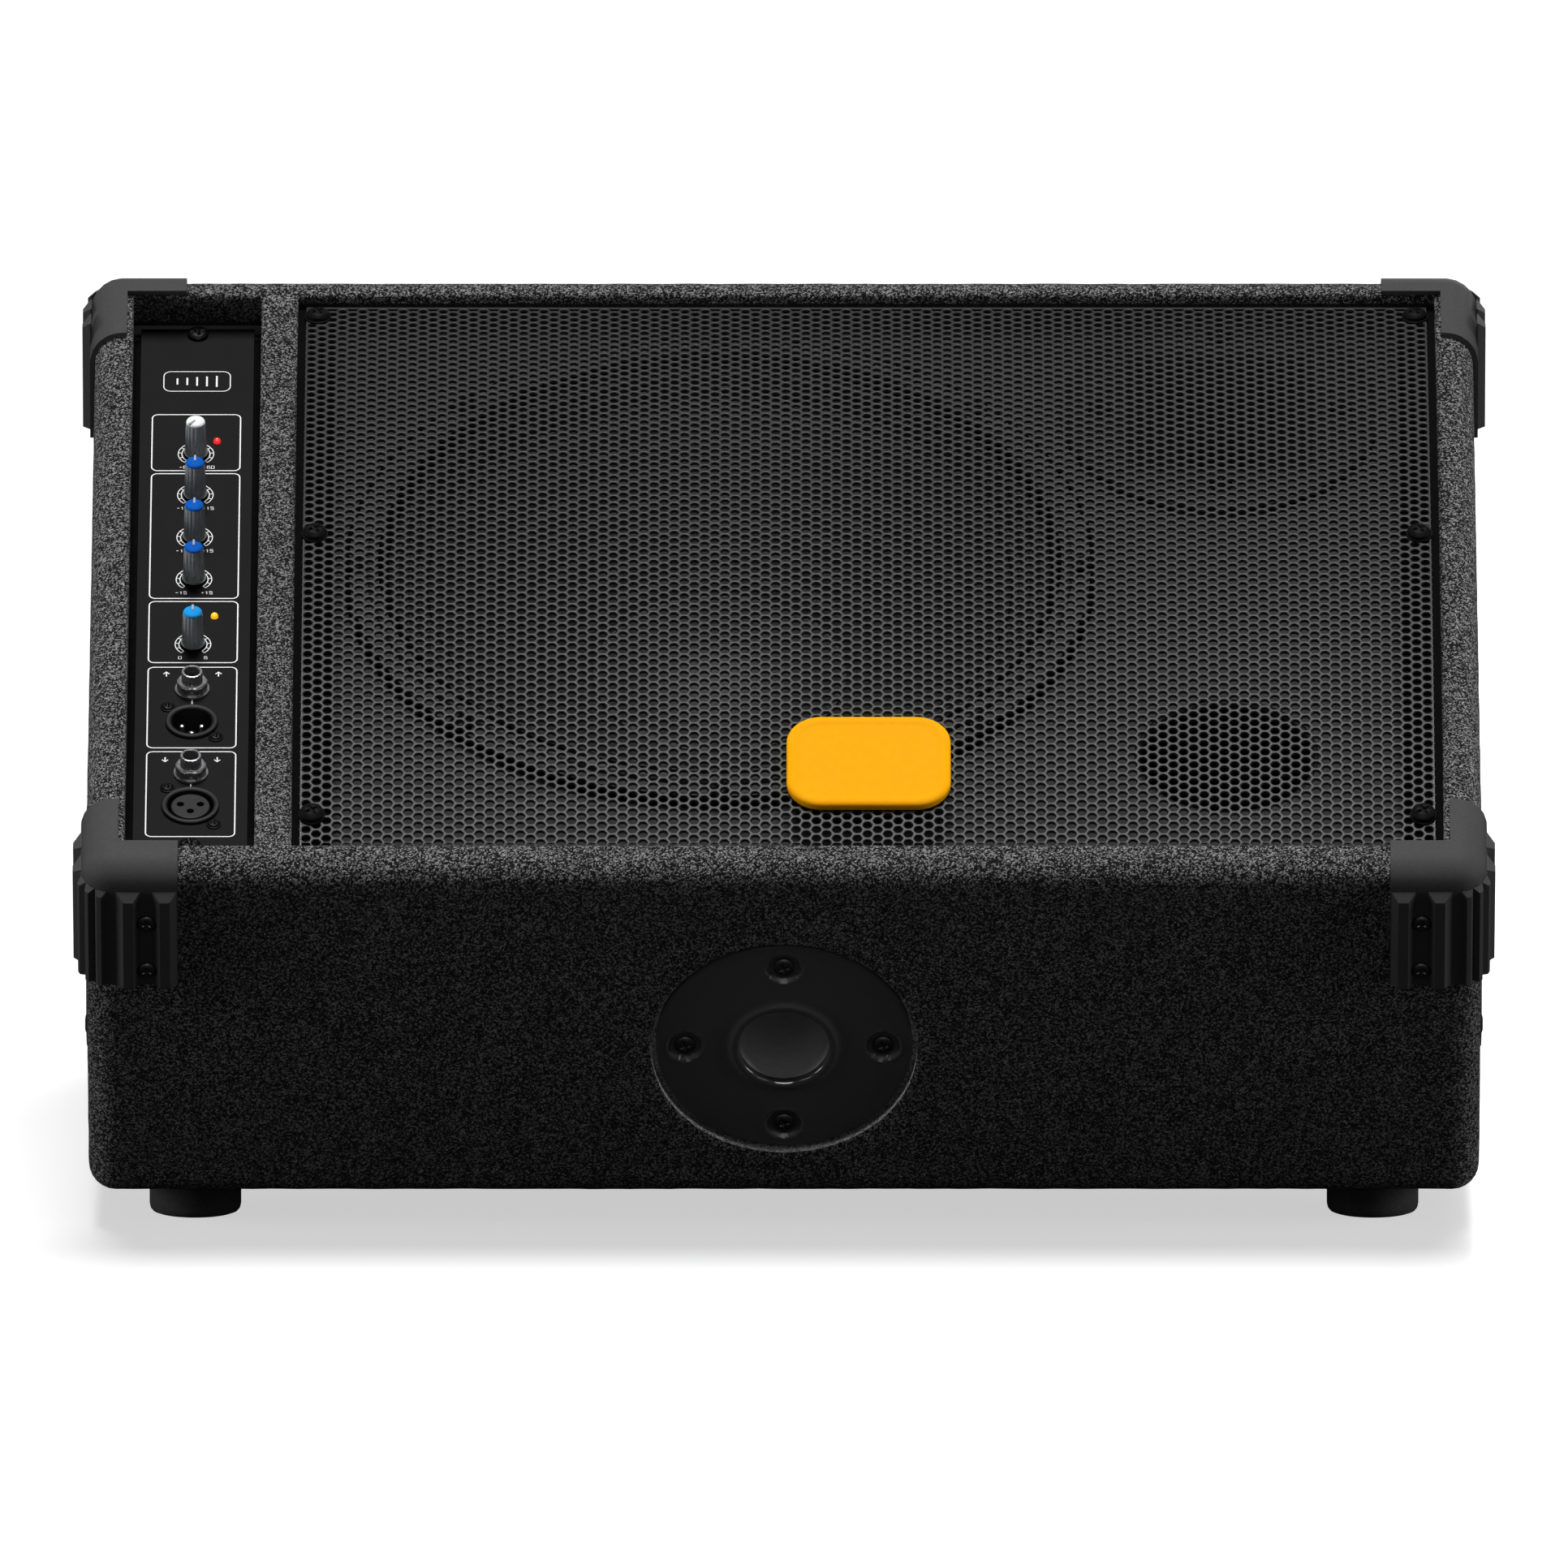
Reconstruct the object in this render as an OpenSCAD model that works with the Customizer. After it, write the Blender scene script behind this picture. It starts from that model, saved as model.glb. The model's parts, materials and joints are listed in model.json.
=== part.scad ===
// Stage monitor wedge: a carpeted two-way floor loudspeaker with its own amplifier.
// All sizes are millimetres. The front looks towards -Y, up is +Z and the floor is Z = 0.

/* [Cabinet] */
// width of the cabinet over its carpet
body_w = 560; // [558:1:570]
// length of the sloping top face
slope_len = 396; // [395:1:402]
// height of the front face, measured along it
front_h = 164; // [162:1:172]
// tilt of the top face above the floor
tilt = 28; // [27.5:0.5:29]
// lean of the rear face away from vertical
rear_lean = 14; // [12:1:15]
// rounding of the cabinet edges
edge_r = 11; // [9:1:12]
// thickness of the carpet
carpet_t = 2; // [1.8:0.1:2.2]
// thickness of the carpet lining inside the recesses
lining_t = 1.5; // [1:0.1:1.5]
// thickness of the front, bottom, rear and baffle boards
panel_t = 15; // [14:0.5:15]
// thickness of the side boards and of the divider
side_t = 12; // [11:0.5:12]
// clear width of the electronics bay between the left side and the divider
bay_w = 55; // [54:0.5:56]
// depth of the two recesses in the top face
recess_d = 15; // [14:0.5:16]

/* [Feet and corners] */
// height of the rubber feet
foot_h = 15; // [12:1:18]
// radius of the rubber feet
foot_r = 18.5; // [16:0.5:20]
// distance of the feet from the middle of the cabinet
foot_x = 237.5; // [225:0.5:240]
// distance of the rear feet behind the front feet
foot_pitch = 272; // [260:1:276]
// wall thickness of the corner protectors
guard_t = 2.2; // [1.5:0.1:2.5]
// reach of the corner protectors across the width
guard_x = 37; // [34:1:40]
// reach of the corner protectors along the side
guard_u = 45; // [42:1:48]
// reach of the corner protectors down the faces
guard_h = 55.6; // [50:0.2:60]

/* [Grille] */
// thickness of the grille sheet
grille_t = 1.5; // [1:0.1:2]
// how far the grille bows out between its ends
grille_bow = 16.5; // [12:0.5:18]
// gap around the grille
grille_gap = 3.3; // [2:0.1:4]
// depth of the grille ends below the rim
grille_drop = 4; // [3:0.5:5]

/* [Drivers] */
// position of the woofer across the width
woofer_x = -26; // [-28:0.5:-24]
// position of the woofer along the slope
woofer_u = 212; // [208:0.5:214]
// radius of the circle through the woofer screws
woofer_bolt_r = 147; // [146:0.5:147.5]
// position of the horn across the width
horn_x = 177; // [174:0.5:180]
// position of the horn along the slope
horn_u = 316; // [312:0.5:316]
// side of the square horn mouth
horn_mouth = 75; // [70:1:78]
// position of the port across the width
port_x = 178; // [170:0.5:185]
// position of the port along the slope
port_u = 94; // [85:0.5:96]
// inner radius of the port
port_r = 34; // [28:0.5:35]

/* [Pole socket] */
// inner radius of the pole socket
pole_r = 18; // [17.5:0.1:18.5]
// depth of the socket floor below the front face
pole_depth = 80; // [70:1:82]
// distance of the socket below the upper front edge
pole_h = 91.5; // [84:0.5:92]

/* [Controls] */
// width of the control panel
panel_w = 46; // [44:0.5:46]
// height of the knobs above the panel
knob_h = 17.5; // [15:0.5:20]
// turn of the gain knob away from its middle setting
gain_turn = 135; // [-140:5:140]
// radius of the jack bores
jack_r = 3.2; // [3.1:0.05:3.3]

/* [Hidden] */
$fn = 64;
edge_fn = 24;
bow_fn = 720;

// colours
carpet_c = [0.16, 0.16, 0.16];
ply_c = [0.62, 0.48, 0.32];
plastic_c = [0.11, 0.11, 0.12];
guard_c = [0.22, 0.22, 0.23];
rubber_c = [0.07, 0.07, 0.07];
steel_c = [0.55, 0.56, 0.58];
black_c = [0.05, 0.05, 0.05];
amber_c = [1, 0.65, 0.03];
copper_c = [0.72, 0.42, 0.2];
alu_c = [0.75, 0.76, 0.78];
board_c = [0.08, 0.3, 0.16];
knob_c = [0.2, 0.2, 0.21];
blue_c = [0.03, 0.28, 0.78];
sky_c = [0.08, 0.55, 0.95];
white_c = [0.92, 0.92, 0.92];

// cabinet outline in the Y-Z plane, in the order front-top, rear-top, rear-bottom, front-bottom
front_y = -214.92;
rim_z = foot_h + front_h * cos(tilt);
p_front = [front_y, rim_z];
p_rear = p_front + slope_len * [cos(tilt), sin(tilt)];
p_heel = [p_rear[0] + (p_rear[1] - foot_h) * tan(rear_lean), foot_h];
p_toe = [front_y + front_h * sin(tilt), foot_h];
n_baffle = [-sin(tilt), cos(tilt)];
n_rear = [cos(rear_lean), sin(rear_lean)];
n_floor = [0, -1];
n_front = [-cos(tilt), -sin(tilt)];
normals = [n_baffle, n_rear, n_floor, n_front];
rear_len = (p_rear[1] - foot_h) / cos(rear_lean);

// board positions
inner_x = body_w / 2 - carpet_t - side_t;
bay_x = -inner_x;
div_x = bay_x + bay_w;
main_x = div_x + side_t;
board_in = carpet_t + panel_t;
// clearance left in every glued face
fit_gap = 0.03;
board_x = inner_x - fit_gap;
rec_u0 = board_in;
rec_u1 = slope_len - board_in;
open_u0 = rec_u0 + lining_t;
open_u1 = rec_u1 - lining_t;
far = 600;

// grille arc
grille_u0 = open_u0 + lining_t;
grille_u1 = open_u1 - lining_t - 1;
grille_x0 = main_x + lining_t + grille_gap;
grille_x1 = inner_x - lining_t - grille_gap;
grille_mid = (grille_u0 + grille_u1) / 2;
grille_half = (grille_u1 - grille_u0) / 2;
bow_r = (grille_half * grille_half + grille_bow * grille_bow) / (2 * grille_bow);
bow_w = grille_bow - grille_drop - bow_r;
batten_w = 16;
ledge_w = 2.6;
grille_screw_x = [grille_x0 + 4.7, grille_x1 - 4.7];
grille_screw_u = [38, 204, 366];

// controls
panel_x = bay_x + bay_w / 2;
panel_t2 = 2;
knob_u = [292, 265, 237, 209.5, 167];
jack_u = [137.5, 83];
link_u = 116;
input_u = 61.4;
panel_screw_u = [36, 371];
led_dx = 8.5;
led_u = [300, 185];
link_screws = [[-9.7, 9.7], [9.7, -9.7]];
input_screws = [[-9.4, 11.7], [9.4, -11.7]];
pin_spots = [[-4, 1.2], [4, 1.2], [0, -3.2]];
bush_r = 4.3;

// screws
screw_r = 1.8;
screw_head_r = 3.8;
screw_head_h = 2.2;
bore_gap = 0.1;
pole_screw_r = 39.8;
flange_r = 51.5;
flange_recess_r = 53.5;
horn_bolt_r = 49;

// cables
cable_r = 2;

// rear amplifier
amp_w = 220;
amp_s0 = 70;
amp_s1 = 260;
amp_t = 2.5;
amp_hole_w = 196;
amp_hole_s0 = 82;
amp_hole_s1 = 254;
inlet_s = 222;
inlet_w = 31;
inlet_l = 66;
rocker_s = 200.5;
drawer_s = 216.5;
socket_s = 238;
rocker_tilt = 8;

function inset(p, a, b, d) = p - d * (a + b) / (1 + a * b);
function core(d) = [
    inset(p_front, n_front, n_baffle, d),
    inset(p_rear, n_baffle, n_rear, d),
    inset(p_heel, n_rear, n_floor, d),
    inset(p_toe, n_floor, n_front, d)];

// ---- helpers ----

module block(lo, hi) {
    translate(lo)
        cube(hi - lo);
}

module rounded(a, b, r) {
    square([a - 2 * r, b], center = true);
    square([a, b - 2 * r], center = true);
    for (sx = [-1, 1], sy = [-1, 1])
        translate([sx * (a / 2 - r), sy * (b / 2 - r)])
            circle(r = r);
}

module along_x(len) {
    translate([-len / 2, 0, 0])
        rotate([90, 0, 90])
            linear_extrude(height = len)
                children();
}

module ring(r_out, r_in, h) {
    difference() {
        cylinder(r = r_out, h = h);
        translate([0, 0, -1])
            cylinder(r = r_in, h = h + 2);
    }
}

// sloping top face: x across, y up the slope, z out of the face
module on_baffle() {
    translate([0, p_front[0], p_front[1]])
        rotate([tilt, 0, 0])
            children();
}

// front face: x across, -y down the face, z out of the face
module on_front() {
    on_baffle()
        rotate([90, 0, 0])
            children();
}

// rear face: x across, y down the face, z out of the face
module on_rear() {
    translate([0, p_rear[0], p_rear[1]])
        rotate([rear_lean - 90, 0, 0])
            children();
}

// side faces: y towards the rear, z out of the face
module on_sides() {
    for (s = [-1, 1])
        translate([s * body_w / 2, front_y + 215, 111])
            rotate([0, s * 90, 0])
                children();
}

// control panel surface at a distance up the slope
module on_panel(u) {
    on_baffle()
        translate([panel_x, u, -recess_d])
            children();
}

// rounded wedge, t inside the outer carpet surface
module skin(t) {
    c = core(edge_r);
    r = edge_r - t;
    hull() {
        for (p = c, s = [-1, 1])
            translate([s * (body_w / 2 - edge_r), p[0], p[1]])
                sphere(r = r, $fn = edge_fn);
        along_x(body_w - 2 * t)
            polygon(c);
        for (i = [0:3])
            along_x(body_w - 2 * edge_r)
                polygon([c[i], c[(i + 1) % 4], c[(i + 1) % 4] + r * normals[i], c[i] + r * normals[i]]);
    }
}

module rear_slab() {
    on_rear()
        block([-board_x, -far / 2, -board_in], [board_x, far, far / 4]);
}

module front_slab() {
    on_front()
        block([-board_x, -far, -board_in], [board_x, far / 2, far / 4]);
}

// the two recesses in the top face, g wider than the clear opening
module recess_blocks(g, depth) {
    on_baffle() {
        block([bay_x + lining_t - g, open_u0 - g, -depth], [div_x - lining_t + g, open_u1 + g, far / 4]);
        block([main_x + lining_t - g, open_u0 - g, -depth], [inner_x - lining_t + g, open_u1 + g, far / 4]);
    }
}

module wood_screw(shank) {
    difference() {
        union() {
            cylinder(r1 = screw_head_r, r2 = screw_head_r - 0.8, h = screw_head_h);
            translate([0, 0, -shank])
                cylinder(r = screw_r, h = shank + 0.5);
        }
        translate([-2, -0.5, screw_head_h - 1.2])
            cube([4, 1, 2]);
        translate([-0.5, -2, screw_head_h - 1.2])
            cube([1, 4, 2]);
    }
}

module screw_bore(shank) {
    translate([0, 0, -shank - 0.5])
        cylinder(r = screw_r + bore_gap, h = shank + 1);
}

module at_guard_screws() {
    for (s = [-1, 1], h = [24, 48]) {
        on_front()
            translate([s * (body_w / 2 - 24.4), -h, guard_t])
                children();
        on_rear()
            translate([s * (body_w / 2 - 24.4), h, guard_t])
                children();
    }
}

module at_handle_screws() {
    on_sides()
        for (sx = [-1, 1], sy = [-1, 0, 1])
            translate([sx * 39.5, sy * 72, 1.5])
                children();
}

module at_feet() {
    for (s = [-1, 1], k = [0, 1])
        translate([s * foot_x, p_toe[0] + 38 + k * foot_pitch, 0])
            children();
}

module at_foot_screws() {
    at_feet()
        translate([0, 0, 4])
            rotate([180, 0, 0])
                children();
}

module at_pole_screws() {
    on_front()
        for (a = [0:90:270])
            translate([pole_screw_r * cos(a), -pole_h + pole_screw_r * sin(a), -4.6])
                children();
}

module at_woofer() {
    on_baffle()
        translate([woofer_x, woofer_u, -recess_d])
            children();
}

module at_woofer_screws() {
    at_woofer()
        for (a = [0:45:315])
            rotate([0, 0, a])
                translate([woofer_bolt_r, 0, 5])
                    children();
}

module at_horn() {
    on_baffle()
        translate([horn_x, horn_u, -recess_d])
            children();
}

module at_horn_screws() {
    at_horn()
        for (a = [0:90:270])
            rotate([0, 0, a])
                translate([horn_bolt_r, 0, 4])
                    children();
}

module at_grille_screws() {
    on_baffle()
        for (x = grille_screw_x, u = grille_screw_u)
            translate([x, grille_mid, bow_w])
                rotate([-asin((u - grille_mid) / bow_r), 0, 0])
                    translate([0, 0, bow_r])
                        children();
}

module at_amp_screws() {
    on_rear()
        for (s = [-1, 1], y = [amp_s0 + 6, (amp_s0 + amp_s1) / 2, amp_s1 - 6])
            translate([s * (amp_w / 2 - 6), y, amp_t - carpet_t])
                children();
}

// ---- cabinet ----

module carpet_cover() {
    color(carpet_c)
        difference() {
            union() {
                difference() {
                    skin(0);
                    skin(carpet_t - fit_gap);
                }
                difference() {
                    recess_blocks(lining_t - fit_gap, recess_d - fit_gap);
                    on_baffle()
                        block([-far, -far, -carpet_t / 2], [far, far, far]);
                }
            }
            recess_blocks(0, recess_d + 1);
            on_front()
                translate([0, -pole_h, -board_in])
                    cylinder(r = flange_recess_r, h = far / 10);
            on_sides()
                translate([0, 0, -20])
                    linear_extrude(height = 40)
                        rounded(66, 156, 18);
            on_rear()
                block([-amp_w / 2 - 1, amp_s0 - 1, -10], [amp_w / 2 + 1, amp_s1 + 1, 10]);
            at_guard_screws()
                screw_bore(14);
            at_handle_screws()
                screw_bore(12);
            at_foot_screws()
                screw_bore(25);
        }
}

module side_panels() {
    color(ply_c)
        difference() {
            intersection() {
                skin(carpet_t);
                for (s = [-1, 1])
                    translate([s * (inner_x + side_t / 2 + carpet_t / 2), 0, 0])
                        cube([side_t + carpet_t, 2 * far, 2 * far], center = true);
            }
            on_sides()
                translate([0, 0, -20])
                    linear_extrude(height = 40)
                        rounded(66, 156, 18);
            at_handle_screws()
                screw_bore(12);
            at_guard_screws()
                screw_bore(14);
        }
}

module front_panel() {
    color(ply_c)
        difference() {
            intersection() {
                skin(carpet_t);
                front_slab();
            }
            recess_blocks(lining_t, recess_d);
            on_front()
                translate([0, -pole_h, -6.8])
                    cylinder(r = flange_recess_r, h = 20);
            on_front()
                translate([0, -pole_h, -40])
                    cylinder(r = pole_r + 3.2, h = 60);
            at_pole_screws()
                screw_bore(12);
            at_guard_screws()
                screw_bore(14);
        }
}

module rear_panel() {
    color(ply_c)
        difference() {
            intersection() {
                skin(carpet_t);
                rear_slab();
            }
            recess_blocks(lining_t, recess_d);
            on_rear()
                block([-amp_hole_w / 2, amp_hole_s0, -40], [amp_hole_w / 2, amp_hole_s1, 10]);
            at_guard_screws()
                screw_bore(14);
            at_amp_screws()
                screw_bore(14);
            at_panel_screws()
                screw_bore(12);
        }
}

module bottom_panel() {
    color(ply_c)
        difference() {
            intersection() {
                skin(carpet_t);
                block([-board_x, -far, 0], [board_x, far, foot_h + board_in]);
            }
            front_slab();
            rear_slab();
            at_foot_screws()
                screw_bore(25);
        }
}

module baffle_board() {
    color(ply_c)
        difference() {
            on_baffle()
                block([main_x + fit_gap, rec_u0 + fit_gap, -recess_d - panel_t],
                    [board_x, slope_len, -recess_d]);
            rear_slab();
            at_woofer()
                translate([0, 0, -30])
                    cylinder(r = 141, h = 60);
            at_horn()
                block([-42, -42, -30], [42, 42, 10]);
            on_baffle()
                translate([port_x, port_u, -60])
                    cylinder(r = port_r + 3.1, h = 60);
            at_woofer_screws()
                screw_bore(18);
            at_horn_screws()
                screw_bore(17);
            at_grille_screws()
                screw_bore(20);
        }
}

module divider_board() {
    color(ply_c)
        difference() {
            intersection() {
                skin(carpet_t);
                block([div_x, -far, 0], [main_x, far, far]);
            }
            front_slab();
            rear_slab();
            block([-far, -far, 0], [far, far, foot_h + board_in]);
            on_baffle()
                translate([div_x - 1, 322, -150])
                    rotate([0, 90, 0])
                        cylinder(r = 4, h = side_t + 2);
        }
}

// one upright rib with a slanted top, standing out towards +Y
module guard_rib(half_base, half_crest, rise) {
    rib_len = guard_h - 8.6;
    intersection() {
        linear_extrude(height = rib_len)
            polygon([[-half_base, -0.5], [-half_base, 0], [-half_crest, rise], [half_crest, rise],
                [half_base, 0], [half_base, -0.5]]);
        translate([-6, 0, 0])
            rotate([90, 0, 90])
                linear_extrude(height = 12)
                    polygon([[-1, 0], [rise + 0.1, 0], [rise + 0.1, rib_len - rise - 0.1],
                        [-1, rib_len + 1]]);
    }
}

module guard_regions() {
    for (s = [-1, 1]) {
        difference() {
            on_baffle()
                translate([s * (body_w / 2 - guard_x / 2 + 10), guard_u / 2 - 10, -guard_h / 2 + 10])
                    cube([guard_x + 20, guard_u + 20, guard_h + 20], center = true);
            on_baffle()
                block([-body_w / 2 + 13, 18, -10], [body_w / 2 - 13, far, far]);
        }
        difference() {
            on_rear()
                translate([s * (body_w / 2 - guard_x / 2 + 10), guard_h / 2 - 10, -guard_u / 2 + 10])
                    cube([guard_x + 20, guard_h + 20, guard_u + 20], center = true);
            on_baffle()
                block([-body_w / 2 + 13, -far, -10], [body_w / 2 - 13, slope_len - 18, far]);
        }
    }
}

module wide_rib() {
    guard_rib(4.85, 2, 3.1);
}

module edge_rib() {
    translate([edge_r + guard_t, 0, 0])
        rotate([0, 0, -90])
            guard_rib(2.3, 1, 1.9);
}

module guard_ribs() {
    for (s = [-1, 1], d = [17.05, 31.75]) {
        on_baffle()
            translate([s * (body_w / 2 - d), -guard_t, -guard_h])
                rotate([0, 0, 180])
                    wide_rib();
        on_baffle()
            translate([s * (body_w / 2 + guard_t), d, -guard_h])
                rotate([0, 0, -s * 90])
                    wide_rib();
        on_rear()
            translate([s * (body_w / 2 - d), guard_h, guard_t])
                rotate([90, 0, 0])
                    wide_rib();
        on_rear()
            translate([s * (body_w / 2 + guard_t), guard_h, -d])
                rotate([90, 0, 0])
                    rotate([0, 0, -s * 90])
                        wide_rib();
    }
    for (s = [-1, 1], a = [22:23:68]) {
        on_baffle()
            translate([s * (body_w / 2 - edge_r), edge_r, -guard_h])
                rotate([0, 0, -90 + s * (90 - a)])
                    edge_rib();
        on_rear()
            translate([s * (body_w / 2 - edge_r), guard_h, -edge_r])
                rotate([90, 0, 0])
                    rotate([0, 0, 90 - s * (90 - a)])
                        edge_rib();
    }
}

module corner_protectors() {
    color(guard_c)
        difference() {
            union() {
                intersection() {
                    skin(-guard_t);
                    guard_regions();
                }
                guard_ribs();
            }
            skin(0);
            at_guard_screws()
                screw_bore(14);
            at_guard_screws()
                cylinder(r = screw_head_r + 0.4, h = 5);
        }
}

module rubber_feet() {
    color(rubber_c)
        at_feet()
            rotate_extrude()
                polygon([[2, foot_h], [foot_r, foot_h], [foot_r, 3], [foot_r - 0.8, 1], [foot_r - 2.6, 0],
                    [8, 0], [8, 4], [2, 4]]);
}

module side_handles() {
    color(plastic_c)
        difference() {
            on_sides()
                difference() {
                    union() {
                        linear_extrude(height = 1.5)
                            rounded(96, 190, 20);
                        translate([0, 0, -35])
                            linear_extrude(height = 36)
                                rounded(64, 154, 17);
                    }
                    translate([0, 0, -32])
                        linear_extrude(height = 40)
                            rounded(58, 148, 14);
                }
            at_handle_screws()
                screw_bore(12);
        }
}

module case_screws() {
    color(steel_c) {
        at_guard_screws()
            wood_screw(14);
        at_handle_screws()
            wood_screw(12);
        at_foot_screws()
            wood_screw(25);
        at_pole_screws()
            wood_screw(12);
    }
}

module pole_cup() {
    color(plastic_c)
        difference() {
            on_front()
                translate([0, -pole_h, 0])
                    rotate_extrude()
                        polygon([[0, -pole_depth - 4], [pole_r + 3, -pole_depth - 4], [pole_r + 3, -6.8],
                            [flange_r, -6.8], [flange_r, -3.6], [flange_r - 0.8, -2.8], [pole_r + 4.5, -2.8],
                            [pole_r + 3.2, -1.6], [pole_r + 1.4, -1.6], [pole_r, -3], [pole_r, -pole_depth],
                            [0, -pole_depth]]);
            at_pole_screws()
                cylinder(r1 = 6.2, r2 = 7, h = 5);
            at_pole_screws()
                screw_bore(12);
        }
}

module port_tube() {
    color(plastic_c)
        on_baffle()
            translate([port_x, port_u, -recess_d - 110])
                ring(port_r + 3, port_r, 110);
}

// ---- grille ----

module bow_layer(r_out, r_in) {
    on_baffle()
        translate([0, grille_mid, bow_w])
            rotate([0, 90, 0])
                translate([0, 0, -far / 2])
                    difference() {
                        cylinder(r = r_out, h = far, $fn = bow_fn);
                        if (r_in > 0)
                            translate([0, 0, -1])
                                cylinder(r = r_in, h = far + 2, $fn = bow_fn);
                    }
}

module grille() {
    color(black_c)
        difference() {
            intersection() {
                bow_layer(bow_r, bow_r - grille_t);
                on_baffle()
                    block([grille_x0, grille_u0, -recess_d], [grille_x1, grille_u1, 3 * grille_bow]);
            }
            at_grille_screws()
                screw_bore(20);
        }
}

module battens() {
    color(black_c)
        difference() {
            union() {
                intersection() {
                    bow_layer(bow_r - grille_t - 0.02, 0);
                    on_baffle() {
                        block([main_x + lining_t, open_u0, -recess_d],
                            [main_x + lining_t + batten_w, open_u1, 3 * grille_bow]);
                        block([inner_x - lining_t - batten_w, open_u0, -recess_d],
                            [inner_x - lining_t, open_u1, 3 * grille_bow]);
                    }
                }
                on_baffle() {
                    block([bay_x + fit_gap, rec_u0, -recess_d - 17],
                        [bay_x + 7.5, 370, -recess_d - panel_t2]);
                    block([div_x - 7.5, rec_u0, -recess_d - 17],
                        [div_x - fit_gap, 370, -recess_d - panel_t2]);
                    block([bay_x + 7.5, rec_u0, -recess_d - 17], [div_x - 7.5, 41, -recess_d - panel_t2]);
                    block([bay_x + 7.5, 362, -recess_d - 17], [div_x - 7.5, 370, -recess_d - panel_t2]);
                    for (x = [bay_x + lining_t + 0.1, div_x - lining_t - ledge_w - 0.1])
                        block([x, open_u0 + 0.1, -recess_d - panel_t2 - 1],
                            [x + ledge_w, open_u0 + 7.5, -3]);
                }
            }
            at_grille_screws()
                screw_bore(20);
            at_panel_screws()
                screw_bore(12);
            rear_slab();
        }
}

module grille_screws() {
    color(steel_c)
        at_grille_screws()
            difference() {
                union() {
                    cylinder(r1 = 5, r2 = 4, h = 2);
                    translate([0, 0, -20])
                        cylinder(r = screw_r, h = 20.5);
                }
                translate([-2.2, -0.5, 0.9])
                    cube([4.4, 1, 2]);
                translate([-0.5, -2.2, 0.9])
                    cube([1, 4.4, 2]);
            }
}

module badge() {
    color(amber_c)
        on_baffle()
            translate([34, grille_mid, bow_w])
                rotate([-asin((65 - grille_mid) / bow_r), 0, 0])
                    translate([0, 0, bow_r + 0.02]) {
                        linear_extrude(height = 2.4)
                            rounded(66, 50, 14);
                        translate([0, 0, 2.4])
                            linear_extrude(height = 0.8)
                                rounded(62, 46, 12);
                    }
}

// ---- woofer ----

module woofer_frame() {
    color(black_c)
        difference() {
            at_woofer()
                rotate_extrude()
                    polygon([[134.2, 5], [151, 5], [151, 0], [140.5, 0], [138, -30], [79, -82],
                        [79, -92], [34, -92], [34, -89.5], [58, -89.5], [58, -73.6], [62, -73.6],
                        [62, -89.5], [76, -89.5], [76, -81], [135.3, -28.5], [134.2, -2]]);
            at_woofer()
                for (a = [0:45:315])
                    rotate([0, 0, a + 7.5])
                        rotate_extrude(angle = 30)
                            polygon([[86, -82], [130, -43], [130, -28], [86, -67]]);
            at_woofer_screws()
                screw_bore(18);
        }
}

module woofer_gasket() {
    color(rubber_c)
        at_woofer()
            translate([0, 0, 5])
                ring(143, 134.3, 2);
}

module woofer_top_plate() {
    color(steel_c)
        at_woofer()
            translate([0, 0, -100])
                ring(62, 26.3, 8);
}

module woofer_magnet() {
    color(black_c)
        at_woofer()
            translate([0, 0, -120])
                ring(70, 32, 20);
}

module woofer_yoke() {
    color(steel_c)
        at_woofer()
            rotate_extrude()
                polygon([[8, -128], [62, -128], [62, -120], [24.9, -120], [24.9, -91], [8, -91]]);
}

module driver_screws() {
    color(steel_c) {
        at_woofer_screws()
            wood_screw(18);
        at_horn_screws()
            wood_screw(17);
    }
}

module woofer_surround() {
    color(rubber_c)
        at_woofer()
            rotate_extrude()
                polygon([[118.2, -6.8], [122, -2.8], [126, 1.2], [130, 2.6], [133.9, 3], [133.9, 4.4],
                    [130, 4.2], [125.4, 2.6], [121.4, -1.6], [118.2, -5.2]]);
}

module woofer_spider() {
    color(amber_c)
        at_woofer()
            translate([0, 0, -73.4])
                ring(61, 26.1, 1.2);
}

module woofer_cone() {
    color(black_c)
        at_woofer()
            rotate_extrude()
                polygon([[25.6, -68.7], [51.6, -51], [116, -6], [117.9, -5.2], [117.9, -6.6],
                    [116, -7.4], [51.6, -52.5], [25.6, -70.3]]);
}

module woofer_dust_cap() {
    dome_h = 13.2;
    base_r = 50.4;
    ball_r = (base_r * base_r + dome_h * dome_h) / (2 * dome_h);
    color(black_c)
        at_woofer()
            intersection() {
                translate([0, 0, -50.6 + dome_h - ball_r])
                    difference() {
                        sphere(r = ball_r);
                        sphere(r = ball_r - 0.8);
                    }
                translate([0, 0, -50.6])
                    cylinder(r = base_r, h = 30);
            }
}

module woofer_voice_coil() {
    color(copper_c)
        at_woofer()
            rotate_extrude()
                polygon([[25.3, -104], [25.9, -104], [25.9, -88], [25.5, -88], [25.5, -66], [25.3, -66]]);
}

// ---- high-frequency horn ----

// square funnel from half side a0 at the bottom to half side a1 at the top
module frustum(a0, a1, h) {
    intersection_for(turn = [0, 90])
        rotate([90, 0, turn])
            translate([0, 0, -a1 - 1])
                linear_extrude(height = 2 * a1 + 2)
                    polygon([[-a0, 0], [a0, 0], [a1, h], [-a1, h]]);
}

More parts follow.
